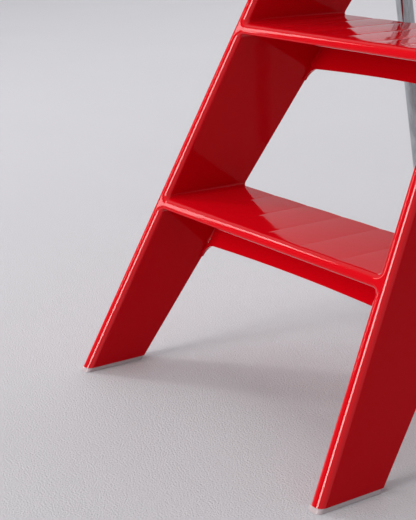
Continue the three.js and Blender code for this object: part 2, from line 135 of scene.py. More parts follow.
class Bench:
    """The node tree of one material."""

    def __init__(self, name: str) -> None:
        """Makes an empty material of that name."""
        self.material = bpy.data.materials.new(name)
        self.material.use_nodes = True
        self.tree = self.material.node_tree
        self.tree.nodes.clear()

    def node(
        self,
        kind: str,
        settings: dict[str, object] | None = None,
        inputs: dict[str | int, Socketable] | None = None,
    ) -> bpy.types.Node:
        """Adds a node.

        Args:
            kind: The node's type.
            settings: Its own settings, set first.
            inputs: Values or links for its sockets, by name or number.

        Returns:
            The node.
        """
        made = self.tree.nodes.new(kind)
        for key, value in (settings or {}).items():
            setattr(made, key, value)
        for key, value in (inputs or {}).items():
            socket = made.inputs[key]
            if isinstance(value, Value):
                self.tree.links.new(value.socket, socket)
            elif isinstance(value, bpy.types.NodeSocket):
                self.tree.links.new(value, socket)
            else:
                socket.default_value = value
        return made

    def value(self, node: bpy.types.Node, output: str | int = 0) -> Value:
        """One output of a node, as a number to reckon with."""
        return Value(self, node.outputs[output])

    def place(self) -> bpy.types.NodeSocket:
        """Object coordinates, in the frame's metres."""
        return self.node("ShaderNodeTexCoord").outputs["Object"]

    def noise(
        self, scale: float, detail: float = 2.0, stretch: Point3 = (1.0, 1.0, 1.0), rough: float = 0.5
    ) -> Value:
        """Cloudy noise in object space.

        Args:
            scale: How many clouds to the metre.
            detail: Octaves of finer noise.
            stretch: Scale of each axis before the noise.
            rough: Strength of the finer octaves.

        Returns:
            The noise, from 0 to 1.
        """
        mapped = self.node("ShaderNodeMapping", {}, {"Vector": self.place(), "Scale": stretch})
        settings = {"Vector": mapped.outputs[0], "Scale": scale, "Detail": detail, "Roughness": rough}
        made = self.node("ShaderNodeTexNoise", {}, settings)
        return self.value(made, "Fac")

    def rounded(self, flats: Sequence[Point3], start: float, gain: float) -> Value:
        """A mask that rises where the surface turns away from a set of flat directions.

        Args:
            flats: Directions that the flat faces look along, in either sense.
            start: How far from the nearest flat direction the mask begins.
            gain: How fast it rises.

        Returns:
            The mask, from 0 to 1.
        """
        facing = self.node("ShaderNodeTexCoord").outputs["Normal"]
        masks = []
        for flat in flats:
            unit = tuple(Vector(flat).normalized())
            product = self.node("ShaderNodeVectorMath", {"operation": "DOT_PRODUCT"}, {0: facing, 1: unit})
            dot = self.value(product, "Value")
            masks.append(((1.0 - dot.magnitude() - start) * gain).clamped())
        return math.prod(masks[1:], start=masks[0])

    def blend(self, share: Value, low: Sequence[float], high: Sequence[float]) -> bpy.types.NodeSocket:
        """A colour between two others.

        Args:
            share: 0 for the first colour, 1 for the second.
            low: First colour.
            high: Second colour.

        Returns:
            The mixed colour.
        """
        inputs = {0: share, 6: (*low, 1.0), 7: (*high, 1.0)}
        return self.node("ShaderNodeMix", {"data_type": "RGBA"}, inputs).outputs[2]

    def bump(
        self, height: Value, distance: float, strength: float = 1.0, below: bpy.types.NodeSocket | None = None
    ) -> bpy.types.NodeSocket:
        """A surface normal that follows a height.

        Args:
            height: Height over the surface.
            distance: Metres that a height of 1 stands for.
            strength: Share of the effect.
            below: Another normal that this one is laid over.

        Returns:
            The normal.
        """
        inputs: dict[str | int, Socketable] = {"Height": height, "Distance": distance, "Strength": strength}
        if below is not None:
            inputs["Normal"] = below
        return self.node("ShaderNodeBump", {}, inputs).outputs[0]

    def surface(self, **inputs: Socketable) -> bpy.types.Material:
        """Ends the material in one Principled shader.

        Args:
            inputs: Its sockets, with underscores for spaces.

        Returns:
            The finished material.
        """
        named = {key.replace("_", " "): value for key, value in inputs.items()}
        shader = self.node("ShaderNodeBsdfPrincipled", {}, named)
        out = self.node("ShaderNodeOutputMaterial")
        self.tree.links.new(shader.outputs[0], out.inputs["Surface"])
        return self.material


# ---------------------------------------------------------------------------------------------
# Finishes
# ---------------------------------------------------------------------------------------------


@dataclass(frozen=True)
class GlossMoulding:
    """High gloss injection moulding, with faint flow marks and handling haze."""

    name: str = "gloss_red_moulding"
    shade: Point3 = (0.62, 0.0012, 0.0068)
    deep: Point3 = (0.57, 0.0010, 0.0056)
    gloss: float = 0.03
    haze: float = 0.05
    index: float = 1.18
    edge_index: float = 1.42
    edge_start: float = 0.012
    edge_gain: float = 30.0
    flats: tuple[Point3, ...] = (
        (1.0, 0.0, CONVERGE), (-1.0, 0.0, CONVERGE), (0.0, 0.0, 1.0), (0.0, 1.0, 0.0),
        (0.0, 1.0, -FRONT_LEAN), (0.0, 1.0, -REAR_LEAN))

    def make(self) -> bpy.types.Material:
        """Builds the material."""
        bench = Bench(self.name)
        clouds = bench.noise(7.0, 3.0)
        smears = bench.noise(42.0, 4.0, (1.0, 0.35, 1.0), 0.62)
        dust = bench.noise(900.0, 2.0)
        specks = ((dust - 0.70) * 8.0).clamped()
        ripple = bench.bump(bench.noise(9.0, 2.0), 0.00003)
        skin = bench.bump(bench.noise(2400.0, 2.0), 0.000004, 0.6, ripple)
        return bench.surface(
            Base_Color=bench.blend(clouds, self.deep, self.shade),
            Roughness=self.gloss + smears * self.haze + specks * 0.05,
            IOR=self.index,
            Coat_Weight=bench.rounded(self.flats, self.edge_start, self.edge_gain),
            Coat_IOR=self.edge_index,
            Coat_Roughness=self.gloss,
            Normal=skin,
        )


@dataclass(frozen=True)
class BrightChrome:
    """Chrome plate on drawn tube: mirror bright with long polishing lines."""

    name: str = "bright_chrome"
    shade: Point3 = (0.50, 0.52, 0.54)
    deep: Point3 = (0.36, 0.375, 0.39)
    gloss: float = 0.03

    def make(self) -> bpy.types.Material:
        """Builds the material."""
        bench = Bench(self.name)
        draw = bench.noise(160.0, 3.0, (1.0, 1.0, 0.02))
        spots = ((bench.noise(420.0, 2.0) - 0.68) * 6.0).clamped()
        streaks = ((draw - 0.35) * 3.0).clamped()
        return bench.surface(
            Base_Color=bench.blend(streaks, self.deep, self.shade),
            Metallic=1.0,
            Roughness=self.gloss + draw * 0.04 + spots * 0.12,
            Normal=bench.bump(draw, 0.00002),
        )


@dataclass(frozen=True)
class PlatedSteel:
    """Zinc plated steel: soft grey sheen with fine turned grain."""

    name: str = "plated_steel"
    dull: Point3 = (0.42, 0.43, 0.44)
    bright: Point3 = (0.60, 0.61, 0.62)

    def make(self) -> bpy.types.Material:
        """Builds the material."""
        bench = Bench(self.name)
        grain = bench.noise(1500.0, 3.0, (0.12, 1.0, 1.0))
        bloom = bench.noise(70.0, 3.0)
        return bench.surface(
            Base_Color=bench.blend(bloom, self.dull, self.bright),
            Metallic=1.0,
            Roughness=0.24 + grain * 0.16 + bloom * 0.06,
            Normal=bench.bump(grain, 0.00003),
        )


@dataclass(frozen=True)
class ClearSole:
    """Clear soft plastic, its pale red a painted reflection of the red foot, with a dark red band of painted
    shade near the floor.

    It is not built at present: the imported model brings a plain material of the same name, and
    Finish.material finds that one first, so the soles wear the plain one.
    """

    name: str = "clear_sole"
    # Painted reflection: this pale red stands in for the red foot mirrored in the clear plastic.
    clear: Point3 = (0.62, 0.13, 0.15)
    # Painted shade: the dark red of the band near the floor stands in for the red foot seen through the sole
    # and the shade where the sole meets the floor.
    painted_shade_red: Point3 = (0.16, 0.006, 0.016)
    line: float = 0.0030

    def make(self) -> bpy.types.Material:
        """Builds the material."""
        bench = Bench(self.name)
        cloud = bench.noise(120.0, 3.0)
        height = bench.value(bench.node("ShaderNodeSeparateXYZ", {}, {0: bench.place()}), "Z")
        # Painted shade: below the line height the colour turns to the dark red band.
        above = ((height - self.line + cloud * 0.0004) * 1800.0).clamped()
        return bench.surface(
            Base_Color=bench.blend(above, self.painted_shade_red, self.clear),
            Roughness=0.05 + cloud * 0.08,
            IOR=1.45,
            Transmission_Weight=0.30,
            Normal=bench.bump(bench.noise(300.0, 2.0), 0.00004),
        )


@dataclass(frozen=True)
class Rubber:
    """Matt moulded rubber with a fine pebbled skin."""

    name: str
    shade: Point3
    worn: Point3

    def make(self) -> bpy.types.Material:
        """Builds the material."""
        bench = Bench(self.name)
        pebble = bench.noise(1700.0, 3.0)
        rubbed = ((bench.noise(60.0, 4.0) - 0.45) * 2.2).clamped()
        return bench.surface(
            Base_Color=bench.blend(rubbed, self.shade, self.worn),
            Roughness=0.62 + rubbed * 0.2,
            Normal=bench.bump(pebble, 0.00008),
        )


@dataclass(frozen=True)
class SatinPlastic:
    """Satin moulded plastic with spark-eroded grain."""

    name: str = "satin_grey_plastic"
    dark: Point3 = (0.10, 0.103, 0.108)
    light: Point3 = (0.14, 0.144, 0.15)

    def make(self) -> bpy.types.Material:
        """Builds the material."""
        bench = Bench(self.name)
        grain = bench.noise(2600.0, 2.0)
        cloud = bench.noise(45.0, 3.0)
        return bench.surface(
            Base_Color=bench.blend(cloud, self.dark, self.light),
            Roughness=0.36 + cloud * 0.12,
            Normal=bench.bump(grain, 0.00003),
        )


@dataclass(frozen=True)
class StudioPaper:
    """The pale seamless sweep that the ladder stands on."""

    name: str = "studio_paper"
    shade: Point3 = (0.565, 0.552, 0.574)
    low: Point3 = (0.54, 0.527, 0.549)

    def make(self) -> bpy.types.Material:
        """Builds the material."""
        bench = Bench(self.name)
        cloud = bench.noise(3.0, 3.0)
        tooth = bench.noise(420.0, 4.0, (1.0, 1.0, 1.0), 0.6)
        return bench.surface(
            Base_Color=bench.blend(cloud, self.low, self.shade),
            Roughness=0.62 + tooth * 0.1,
            Normal=bench.bump(tooth, 0.0016),
        )


class Finish(Enum):
    """Every finish on the ladder, with the record's slot that it belongs to."""

    RED = ("red_moulding", GlossMoulding())
    CHROME = ("chrome_tube", BrightChrome())
    STEEL = ("plain_steel", PlatedSteel())
    SOLE = ("clear_sole", ClearSole())
    REST = ("dark_rubber", Rubber("rest_rubber", (0.018, 0.018, 0.019), (0.035, 0.035, 0.036)))
    PLASTIC = ("grey_plastic", SatinPlastic())
    SHOE = ("grey_rubber", Rubber("shoe_rubber", (0.075, 0.076, 0.08), (0.12, 0.12, 0.125)))

    @property
    def slot(self) -> str:
        """The record's material slot."""
        return self.value[0]

    def material(self) -> bpy.types.Material:
        """The material that already has the finish's name, or else a new one."""
        made = bpy.data.materials.get(self.value[1].name)
        return made or self.value[1].make()


# ---------------------------------------------------------------------------------------------
# Mesh workshop
# ---------------------------------------------------------------------------------------------


@dataclass
class Rim:
    """A closed outline in the front view, with the direction out of the material at each point."""

    points: list[Point2] = field(default_factory=list)
    normals: list[Point2] = field(default_factory=list)

    def add(self, point: Point2, normal: Point2) -> None:
        """Appends one station."""
        self.points.append(point)
        self.normals.append(normal)

    def inset(self, distance: float) -> list[Point2]:
        """The outline moved into the material by that distance."""
        pairs = zip(self.points, self.normals)
        return [(px - nx * distance, pz - nz * distance) for (px, pz), (nx, nz) in pairs]


def rim_through(corners: Sequence[tuple[float, float, float]], spacing: float, degrees: float = 7.5) -> Rim:
    """Draws a closed outline with rounded corners and evenly spaced stations.

    Args:
        corners: (a, b, radius) of each corner, with the material on the left of the path.
        spacing: Longest step along a straight edge.
        degrees: Longest step round a corner.

    Returns:
        The outline.
    """
    rim = Rim()
    count = len(corners)
    trims: list[tuple[Vector, Vector, Vector, float, float]] = []
    for i, (a, b, radius) in enumerate(corners):
        here = Vector((a, b))
        before = (here - Vector(corners[i - 1][:2])).normalized()
        after = (Vector(corners[(i + 1) % count][:2]) - here).normalized()
        turn = math.atan2(before.x * after.y - before.y * after.x, before.dot(after))
        cut = abs(radius * math.tan(turn / 2))
        trims.append((here, before, after, turn, cut))
    for i, (here, before, after, turn, cut) in enumerate(trims):
        radius = corners[i][2]
        side = math.copysign(1.0, turn)
        start = here - before * cut
        centre = start + Vector((-before.y, before.x)) * radius * side
        steps = max(1, math.ceil(abs(math.degrees(turn)) / degrees)) if radius > 0 else 0
        for k in range(steps + 1):
            angle = turn * k / steps if steps else turn * 0.5
            along = Matrix.Rotation(angle, 2) @ before
            normal = Vector((along.y, -along.x))
            if steps:
                point = centre + normal * radius * side
            else:
                point, normal = here, normal / math.cos(turn / 2)
            rim.add((point.x, point.y), (normal.x, normal.y))
        end = here + after * cut
        nxt = trims[(i + 1) % count]
        gap = (nxt[0] - nxt[1] * nxt[4]) - end
        pieces = max(1, math.ceil(gap.length / spacing))
        normal = (after.y, -after.x)
        for k in range(1, pieces):
            point = end + gap * (k / pieces)
            rim.add((point.x, point.y), normal)
    return rim


class Shell:
    """A closed mesh under construction, in workshop millimetres."""

    def __init__(self) -> None:
        """Starts empty."""
        self.verts: list[Point3] = []
        self.faces: list[tuple[int, ...]] = []

    def row(self, points: Iterable[Point3]) -> list[int]:
        """Adds a row of vertices.

        Args:
            points: Their places, in order.

        Returns:
            Their numbers.
        """
        first = len(self.verts)
        self.verts.extend(points)
        return list(range(first, len(self.verts)))

    def bridge(self, one: Sequence[int], two: Sequence[int]) -> None:
        """Joins two closed rows with quads.

        Args:
            one: The first row's vertices.
            two: As many vertices in the second row.
        """
        count = len(one)
        for i in range(count):
            j = (i + 1) % count
            self.faces.append((one[i], one[j], two[j], two[i]))

    def wrap(self, rows: Sequence[Sequence[int]]) -> None:
        """Joins each row to the next."""
        for one, two in zip(rows, rows[1:]):
            self.bridge(one, two)

    def close(self, rows: Sequence[Sequence[int]], view: Callable[[Point3], Point2]) -> None:
        """Caps the first and the last row."""
        self.cap([rows[0]], True, view)
        self.cap([rows[-1]], False, view)

    def cap(self, rows: Sequence[Sequence[int]], flip: bool, view: Callable[[Point3], Point2]) -> None:
        """Closes an area bounded by rows with triangles.

        Args:
            rows: The outer row, then the rows of its holes.
            flip: Whether the triangles are turned over.
            view: Flattens a vertex for the triangulation.
        """
        order = [v for row in rows for v in row]
        flat = [Vector(view(self.verts[v])) for v in order]
        loops = []
        first = 0
        for row in rows:
            loop = list(range(first, first + len(row)))
            area = sum(flat[a].cross(flat[b]) for a, b in zip(loop, loop[1:] + loop[:1]))
            loops.append(loop if area > 0 else loop[::-1])
            first += len(row)
        found = delaunay_2d_cdt(flat, [], loops, 1, 1e-6)
        for triangle, inside in zip(found[2], found[5]):
            if set(inside) == {0}:
                source = [order[found[3][v][0]] for v in triangle]
                self.faces.append(tuple(reversed(source)) if flip else tuple(source))

    def piece(self, name: str) -> bpy.types.Object:
        """Turns the shell into an object in the frame's metres.

        Args:
            name: Name of the object.

        Returns:
            The object.
        """
        mesh = bpy.data.meshes.new(name)
        mesh.from_pydata([at(*v) for v in self.verts], [], self.faces)
        return linked(name, mesh)


def linked(name: str, mesh: bpy.types.Mesh) -> bpy.types.Object:
    """Welds a mesh, turns its faces outward, and puts it in the scene.

    Args:
        name: Name of the object.
        mesh: The mesh.

    Returns:
        The object.
    """
    work = bmesh.new()
    work.from_mesh(mesh)
    bmesh.ops.remove_doubles(work, verts=work.verts, dist=1e-7)
    bmesh.ops.recalc_face_normals(work, faces=work.faces)
    work.to_mesh(mesh)
    work.free()
    made = bpy.data.objects.new(name, mesh)
    bpy.context.scene.collection.objects.link(made)
    return made


def settled(piece: bpy.types.Object) -> bpy.types.Object:
    """Applies a piece's modifiers to its mesh.

    Args:
        piece: The piece.

    Returns:
        The piece.
    """
    graph = bpy.context.evaluated_depsgraph_get()
    graph.update()
    mesh = bpy.data.meshes.new_from_object(piece.evaluated_get(graph))
    piece.modifiers.clear()
    old = piece.data
    piece.data = mesh
    bpy.data.meshes.remove(old)
    mesh.name = piece.name
    return piece


class Join(Enum):
    """How a tool solid meets the piece."""

    CUT = "DIFFERENCE"
    FUSE = "UNION"


def worked(piece: bpy.types.Object, tools: Sequence[bpy.types.Object], how: Join) -> bpy.types.Object:
    """Cuts or fuses tools into a piece and clears the tools away.

    Args:
        piece: The piece that is kept.
        tools: Closed solids.
        how: Cut or fuse.

    Returns:
        The piece.
    """
    box = bpy.data.collections.new("tools")
    for tool in tools:
        box.objects.link(tool)
    step = piece.modifiers.new(how.name, "BOOLEAN")
    step.operation = how.value
    step.solver = "MANIFOLD"
    step.operand_type = "COLLECTION"
    step.collection = box
    settled(piece)
    for tool in list(tools):
        bpy.data.objects.remove(tool)
    bpy.data.collections.remove(box)
    return piece


def softened(
    piece: bpy.types.Object, width: float, segments: int = 3, angle: float = 32.0
) -> bpy.types.Object:
    """Rounds a piece's sharp edges.

    Args:
        piece: The piece.
        width: Width of the rounding in millimetres.
        segments: Steps in the rounding.
        angle: Edges sharper than this are rounded.

    Returns:
        The piece.
    """
    step = piece.modifiers.new("round", "BEVEL")
    step.width = width * MM
    step.segments = segments
    step.limit_method = "ANGLE"
    step.angle_limit = math.radians(angle)
    step.harden_normals = False
    step.miter_outer = "MITER_ARC"
    return settled(piece)


def shaded(piece: bpy.types.Object, angle: float = 30.0) -> bpy.types.Object:
    """Smooth shading with crisp edges and flat faces kept flat.

    Args:
        piece: The piece.
        angle: Edges sharper than this stay crisp, in degrees.

    Returns:
        The piece.
    """
    piece.data.shade_smooth()
    piece.data.set_sharp_from_angle(angle=math.radians(angle))
    step = piece.modifiers.new("normals", "WEIGHTED_NORMAL")
    step.keep_sharp = True
    step.weight = 100
    return piece


def extruded(
    name: str, outline: Sequence[Point2], low: float, high: float,
    turn: Callable[[float, float, float], Point3],
) -> bpy.types.Object:
    """A closed outline pushed along its normal.

    Args:
        name: Name of the piece.
        outline: Points (a, b) in order.
        low: Where the push starts.
        high: Where it ends.
        turn: Maps (a, b, distance) to workshop x, y, z.

    Returns:
        The solid.
    """
    shell = Shell()
    one = shell.row([turn(a, b, low) for a, b in outline])
    two = shell.row([turn(a, b, high) for a, b in outline])
    shell.bridge(one, two)
    flat = dict(zip(one + two, list(outline) * 2))
    lookup = {shell.verts[v]: flat[v] for v in one + two}
    shell.cap([one], True, lambda p: lookup[p])
    shell.cap([two], False, lambda p: lookup[p])
    return shell.piece(name)


def turned(
    name: str, profile: Sequence[Point2], centre: Point3, axis: Vector, sides: int = 64
) -> bpy.types.Object:
    """A profile turned about an axis.

    Args:
        name: Name of the piece.
        profile: Profile of (radius, distance) points.
        centre: Point on the axis in workshop millimetres.
        axis: Direction of growing distance.
        sides: Steps round the axis.

    Returns:
        The piece.
    """
    facing = Vector((0, 0, 1)).rotation_difference(axis.normalized())
    shell = Shell()
    rows = []
    for radius, distance in profile:
        ring = []
        for k in range(sides):
            angle = 2 * math.pi * k / sides
            spot = facing @ Vector((radius * math.cos(angle), radius * math.sin(angle), distance))
            ring.append((centre[0] + spot.x, centre[1] + spot.y, centre[2] + spot.z))
        rows.append(shell.row(ring))
    closing = rows[:1] if profile[0][0] + profile[-1][0] > 0 else []
    shell.wrap(rows + closing)
    return shell.piece(name)


def plan(point: Point3) -> Point2:
    """A point seen from above."""
    return point[0], point[1]


def elevation(point: Point3) -> Point2:
    """A point seen from the front."""
    return point[0], point[2]


def across(name: str, outline: Sequence[Point2], low: float, high: float) -> bpy.types.Object:
    """A side-view outline (y, z) spread along x."""
    return extruded(name, outline, low, high, lambda a, b, d: (d, a, b))


def backward(
    name: str, outline: Sequence[Point2], low: float, high: float, lean: float = 0.0
) -> bpy.types.Object:
    """A front-view outline (x, z) pushed back along y, further back with height where it leans."""
    return extruded(name, outline, low, high, lambda a, b, d: (a, d + lean * b, b))


def upward(name: str, outline: Sequence[Point2], low: float, high: float) -> bpy.types.Object:
    """A plan outline (x, y) pushed up along z."""
    return extruded(name, outline, low, high, lambda a, b, d: (a, b, d))


def circle(centre: Point2, radius: float, sides: int) -> list[Point2]:
    """Evenly spaced points round a circle."""
    angles = [2 * math.pi * k / sides for k in range(sides)]
    return [(centre[0] + radius * math.cos(a), centre[1] + radius * math.sin(a)) for a in angles]


def bar(radius: float, low: float, high: float, spot: Point2) -> bpy.types.Object:
    """A round bar along x, through a point of the side view."""
    return across("bar", circle(spot, radius, 48), low, high)


def crown(radius: float, start: float, rise: float, steps: int = 8) -> list[Point2]:
    """A domed end's curve, as (radius, distance) points that finish on the axis."""
    angles = [math.pi / 2 * k / steps for k in range(1, steps + 1)]
    return [(radius * math.cos(a), start + rise * math.sin(a)) for a in angles]


def rectangle(low: Point2, high: Point2, radius: float, degrees: float = 15.0) -> list[Point2]:
    """A rectangle's outline with rounded corners.

    Args:
        low: Its lower left corner.
        high: Its upper right corner.
        radius: Radius of the corners.
        degrees: Longest step round a corner.

    Returns:
        The outline.
    """
    corners = [(low[0], low[1], radius), (high[0], low[1], radius),
               (high[0], high[1], radius), (low[0], high[1], radius)]
    return rim_through(corners, COARSE, degrees).points


def copied(piece: bpy.types.Object) -> bpy.types.Object:
    """A separate copy of a tool."""
    made = piece.copy()
    made.data = piece.data.copy()
    bpy.context.scene.collection.objects.link(made)
    return made


def mirrored(piece: bpy.types.Object, name: str) -> bpy.types.Object:
    """A piece's mirror image for the other side of the ladder.

    Args:
        piece: The right-hand piece.
        name: Name of the left-hand piece.

    Returns:
        The left-hand piece.
    """
    mesh = piece.data.copy()
    mesh.transform(Matrix.Scale(-1, 4, Vector((1, 0, 0))))
    mesh.flip_normals()
    made = bpy.data.objects.new(name, mesh)
    bpy.context.scene.collection.objects.link(made)
    return made


def paired(piece: bpy.types.Object, name: str) -> list[bpy.types.Object]:
    """A right-hand piece and its mirror image, both smoothly shaded."""
    left = mirrored(piece, f"{name}_left")
    return [shaded(piece), shaded(left)]


def hollowed(hollows: Sequence[bpy.types.Object], cores: Sequence[bpy.types.Object]) -> None:
    """Cuts cores out of hollows, so that the piece keeps its bosses, and clears the cores away.

    Args:
        hollows: Tools that will be cut out of a piece.
        cores: Solids that the piece keeps.
    """
    for hollow in hollows:
        worked(hollow, [copied(core) for core in cores], Join.CUT)
    for core in cores:
        bpy.data.objects.remove(core)


def dressed(piece: bpy.types.Object, finish: Finish, body: str, *nodes: str) -> bpy.types.Object:
    """Gives a piece its finish, its body and the nodes it stands for.

    Args:
        piece: The piece.
        finish: Its finish.
        body: The CAD body it rides on.
        nodes: CAD nodes that it replaces.

    Returns:
        The piece.
    """
    piece.data.materials.clear()
    piece.data.materials.append(finish.material())
    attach(piece, body)
    if nodes:
        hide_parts(*nodes)
    log.info("%s: %d faces on body %s", piece.name, len(piece.data.polygons), body)
    return piece


Row = tuple[Finish, str]


def both_sides(finish: Finish, node: str) -> list[Row]:
    """The finish and the node of a right-hand and a left-hand piece."""
    return [(finish, f"{node}_right"), (finish, f"{node}_left")]


def dressed_in_order(pieces: Sequence[bpy.types.Object], body: str, rows: Sequence[Row]) -> None:
    """Dresses the pieces of one body.

    Args:
        pieces: The pieces.
        body: The CAD body they ride on.
        rows: Each piece's finish and the node it replaces.
    """
    for piece, (finish, node) in zip(pieces, rows, strict=True):
        dressed(piece, finish, body, node)


# ---------------------------------------------------------------------------------------------
# Front moulding
# ---------------------------------------------------------------------------------------------


@dataclass
class LadderLines:
    """The straight lines and pivots that the whole ladder is set out from."""

    half_at_floor: float = 254.0
    foot_depth: float = 85.5
    panel: float = 19.5
    treads: tuple[float, float] = (225.0, 445.0)
    platform: float = 665.0
    top: float = 1000.0
    grip: float = 26.0
    sole: float = 5.3
    ledge: float = 632.4
    pivot: Point2 = (499.9, 580.0)
    hinge: Point2 = (362.0, 648.0)
    bore: float = 4.3
    deck_half: float = 157.8

    def outer(self, z: float) -> float:
        """Half width over the panels."""
        return self.half_at_floor - CONVERGE * min(z, self.platform)

    def inner(self, z: float) -> float:
        """Half width between the panels."""
        return self.outer(z) - self.panel

    def front(self, z: float) -> float:
        """The front face."""
        return FRONT_LEAN * z

    def rear(self, z: float) -> float:
        """The straight back edge below the ear."""
        return self.foot_depth + REAR_LEAN * z


@dataclass
class FrontMoulding:
    """The one-piece red frame: side panels, treads, aprons, ears, ledges and hand hoop."""

    lines: LadderLines = field(default_factory=LadderLines)
    wall: float = 3.5
    rim: float = 12.0
    edge: float = 6.0
    bead: float = 3.2
    fade: float = 26.0
    roll_steps: int = 7
    shoulder: float = 14.0
    spacing: float = 2.2
    corner: float = 5.0
    foot_corner: float = 8.0
    gentle: float = 500.0
    hoop_outer: float = 90.0
    hoop_inner: float = 70.0
    nosing: float = 13.0
    skin: float = 4.0
    rib: float = 3.0
    bays: int = 6
    sink: float = 0.32
    groove: float = 0.22
    groove_half: float = 2.4
    arm: float = 50.0
    waist: float = 752.0
    grip_half: float = 85.0
    apron_drops: tuple[float, float] = (71.5, 65.0)
    apron_rise: float = 3.5
    apron_wall: float = 4.5
    apron_corner: float = 16.0
    apron_steps: int = 28
    web: float = 4.0
    ring_radius: float = 14.0
    lug_gap: float = 0.3
    ledge_reach: float = 16.0
    ledge_drop: float = 27.0
    ledge_run: Point2 = (400.0, 522.0)
    pin_head: float = 9.3
    beyond: float = 240.0
    pocket_levels: tuple[float, ...] = (
        9, 84, 159, 234, 309, 384, 459, 534, 606, 665, 735, 815, 900)

    def __post_init__(self) -> None:
        """Works out the back edge once."""
        self.stations = self.back_line()

    def back_line(self) -> list[Point2]:
        """Stations (z, y) of the frame's back edge, from the floor to the top.

        Returns:
            The stations.
        """
        lines = self.lines
        pivot_y, pivot_z = lines.pivot
        away, low, elbow, high = -400.0, -60.0, 548.0, 1080.0
        corners = [
            (away, low, 0.0),
            (lines.rear(low), low, 0.0),
            (lines.rear(elbow), elbow, 30.0),
            (pivot_y + 24.1, pivot_z - 6.0, 20.0),
            (550.0, 660.0, 22.0),
            (lines.front(self.waist) + self.arm, self.waist, 110.0),
            (lines.front(high) + self.arm, high, 0.0),
            (away, high, 0.0),
        ]
        points = rim_through(corners, COARSE, 5.0).points
        return sorted((z, y) for y, z in points if y > lines.front(z))

    def back(self, z: float) -> float:
        """The back edge at a height.

        Args:
            z: The height.

        Returns:
            The y of the back edge.
        """
        for (z0, y0), (z1, y1) in zip(self.stations, self.stations[1:]):
            if z0 <= z <= z1 and z1 > z0:
                return y0 + (y1 - y0) * (z - z0) / (z1 - z0)
        return self.stations[-1][1]

    def bay_pitch(self, top: float) -> Point2:
        """Half the width of a tread's bays, and the distance from one bay to the next."""
        half = self.lines.inner(top) - self.rib
        return half, (2 * half + self.rib) / self.bays

    def sunk(self, x: float, top: float) -> float:
        """How far a tread's top sinks over the ribs below it.

        Args:
            x: Place across the tread.
            top: Height of the tread.

        Returns:
            The depth, as a negative number.
        """
        half, pitch = self.bay_pitch(top)
        place = (x + half + self.rib / 2) / pitch
        if not 0.5 < place < self.bays - 0.5:
            return 0.0
        off = abs(place - round(place))
        groove = max(0.0, 1.0 - off * pitch / self.groove_half)
        return -self.sink * (1.0 - 2 * off) ** 2 - self.groove * groove

    def outlines(self) -> list[Rim]:
        """The outer outline and the two openings in the front view.

        Returns:
            The three outlines.
        """
        lines, corner = self.lines, self.corner
        foot = -40.0
        under = lines.treads[0] - self.nosing
        grip = lines.top - lines.grip
        outer = [
            (lines.inner(foot), foot, self.foot_corner),
            (lines.outer(foot), foot, self.foot_corner),
            (lines.outer(lines.platform), lines.platform, self.gentle),
            (lines.outer(lines.top), lines.top, self.hoop_outer),
        ]
        outer += [(-x, z, r) for x, z, r in reversed(outer)]
        outer += [(-lines.inner(under), under, corner), (lines.inner(under), under, corner)]
        low, high = lines.treads[0], lines.treads[1] - self.nosing
        step = [(-lines.inner(low), low, corner), (-lines.inner(high), high, corner)]
        hoop = [
            (-lines.inner(lines.treads[1]), lines.treads[1], corner),
            (-lines.inner(lines.platform), lines.platform, self.gentle),
            (-lines.inner(grip), grip, self.hoop_inner),
        ]
        openings = [half + [(-x, z, r) for x, z, r in reversed(half)] for half in (step, hoop)]
        return [rim_through(outline, self.spacing) for outline in (outer, *openings)]

    def shell(self) -> bpy.types.Object:
        """The solid outer form, with its rolled front rim.

        Returns:
            The form.
        """
        front = self.lines.front
        shell = Shell()
        fronts, backs = [], []
        for rim in self.outlines():
            rows = []
            for k in range(self.roll_steps, -1, -1):
                rows.append(shell.row(self._lifted(rim, math.pi / 2 * k / self.roll_steps, front)))
            rows.append(shell.row(self._lifted(rim, 0.0, lambda z: front(z) + self.shoulder)))
            rows.append(shell.row([(x, self.back(z), z) for x, _, z in self._lifted(rim, 0.0, front)]))
            shell.wrap(rows)
            fronts.append(rows[0])
            backs.append(rows[-1])
        shell.cap(fronts, False, elevation)
        shell.cap(backs, True, elevation)
        return shell.piece("front_frame_skin")

    def _lifted(self, rim: Rim, angle: float, depth: Callable[[float], float]) -> list[Point3]:
        """An outline's points on the rolled rim, with the treads' tops sunk over their ribs.

        Args:
            rim: The outline.
            angle: How far round the roll, from 0 on the side to a quarter turn on the front.
            depth: Gives the y that the roll is measured back from at a height.

        Returns:
            The points.
        """
        found = []
        for (px, pz), (nx, nz) in zip(rim.points, rim.normals):
            fade = min(1.0, max(0.0, 1.0 + pz / self.fade))
            roll = self.edge + self.bead * fade * min(1.0, abs(nx)) ** 4
            inset = roll * (1 - math.cos(angle))
            x, z = px - nx * inset, pz - nz * inset
            top = next((t for t in self.lines.treads if abs(pz - t) < 0.6 and nz > 0.98), None)
            drop = self.sunk(x, top) if top is not None else 0.0
            side = 1 - math.sin(angle)
            found.append((x, depth(z) + roll * side, z + drop * side * side))
        return found

    def pockets(self) -> list[bpy.types.Object]:
        """The hollows of the side panels and hoop arms, open at the back.

        Returns:
            The hollows.
        """
        lines = self.lines
        made = []
        for low, high in zip(self.pocket_levels, self.pocket_levels[1:]):
            z0, z1 = low + self.rib / 2, high - self.rib / 2
            corners = [
                (lines.inner(z0) + self.wall, z0, 2.0),
                (lines.outer(z0) - self.wall, z0, 2.0),
                (lines.outer(z1) - self.wall, z1, 2.0),
                (lines.inner(z1) + self.wall, z1, 2.0),
            ]
            outline = rim_through(corners, COARSE, 30.0).points
            one = backward("pocket", outline, self.rim, COARSE, FRONT_LEAN)
            made += [one, mirrored(one, "pocket")]
        low, high = lines.top - lines.grip + self.wall, lines.top - self.wall
        outline = rectangle((-self.grip_half, low), (self.grip_half, high), 4.0)
        made.append(backward("grip_pocket", outline, self.rim, COARSE, FRONT_LEAN))
        return made

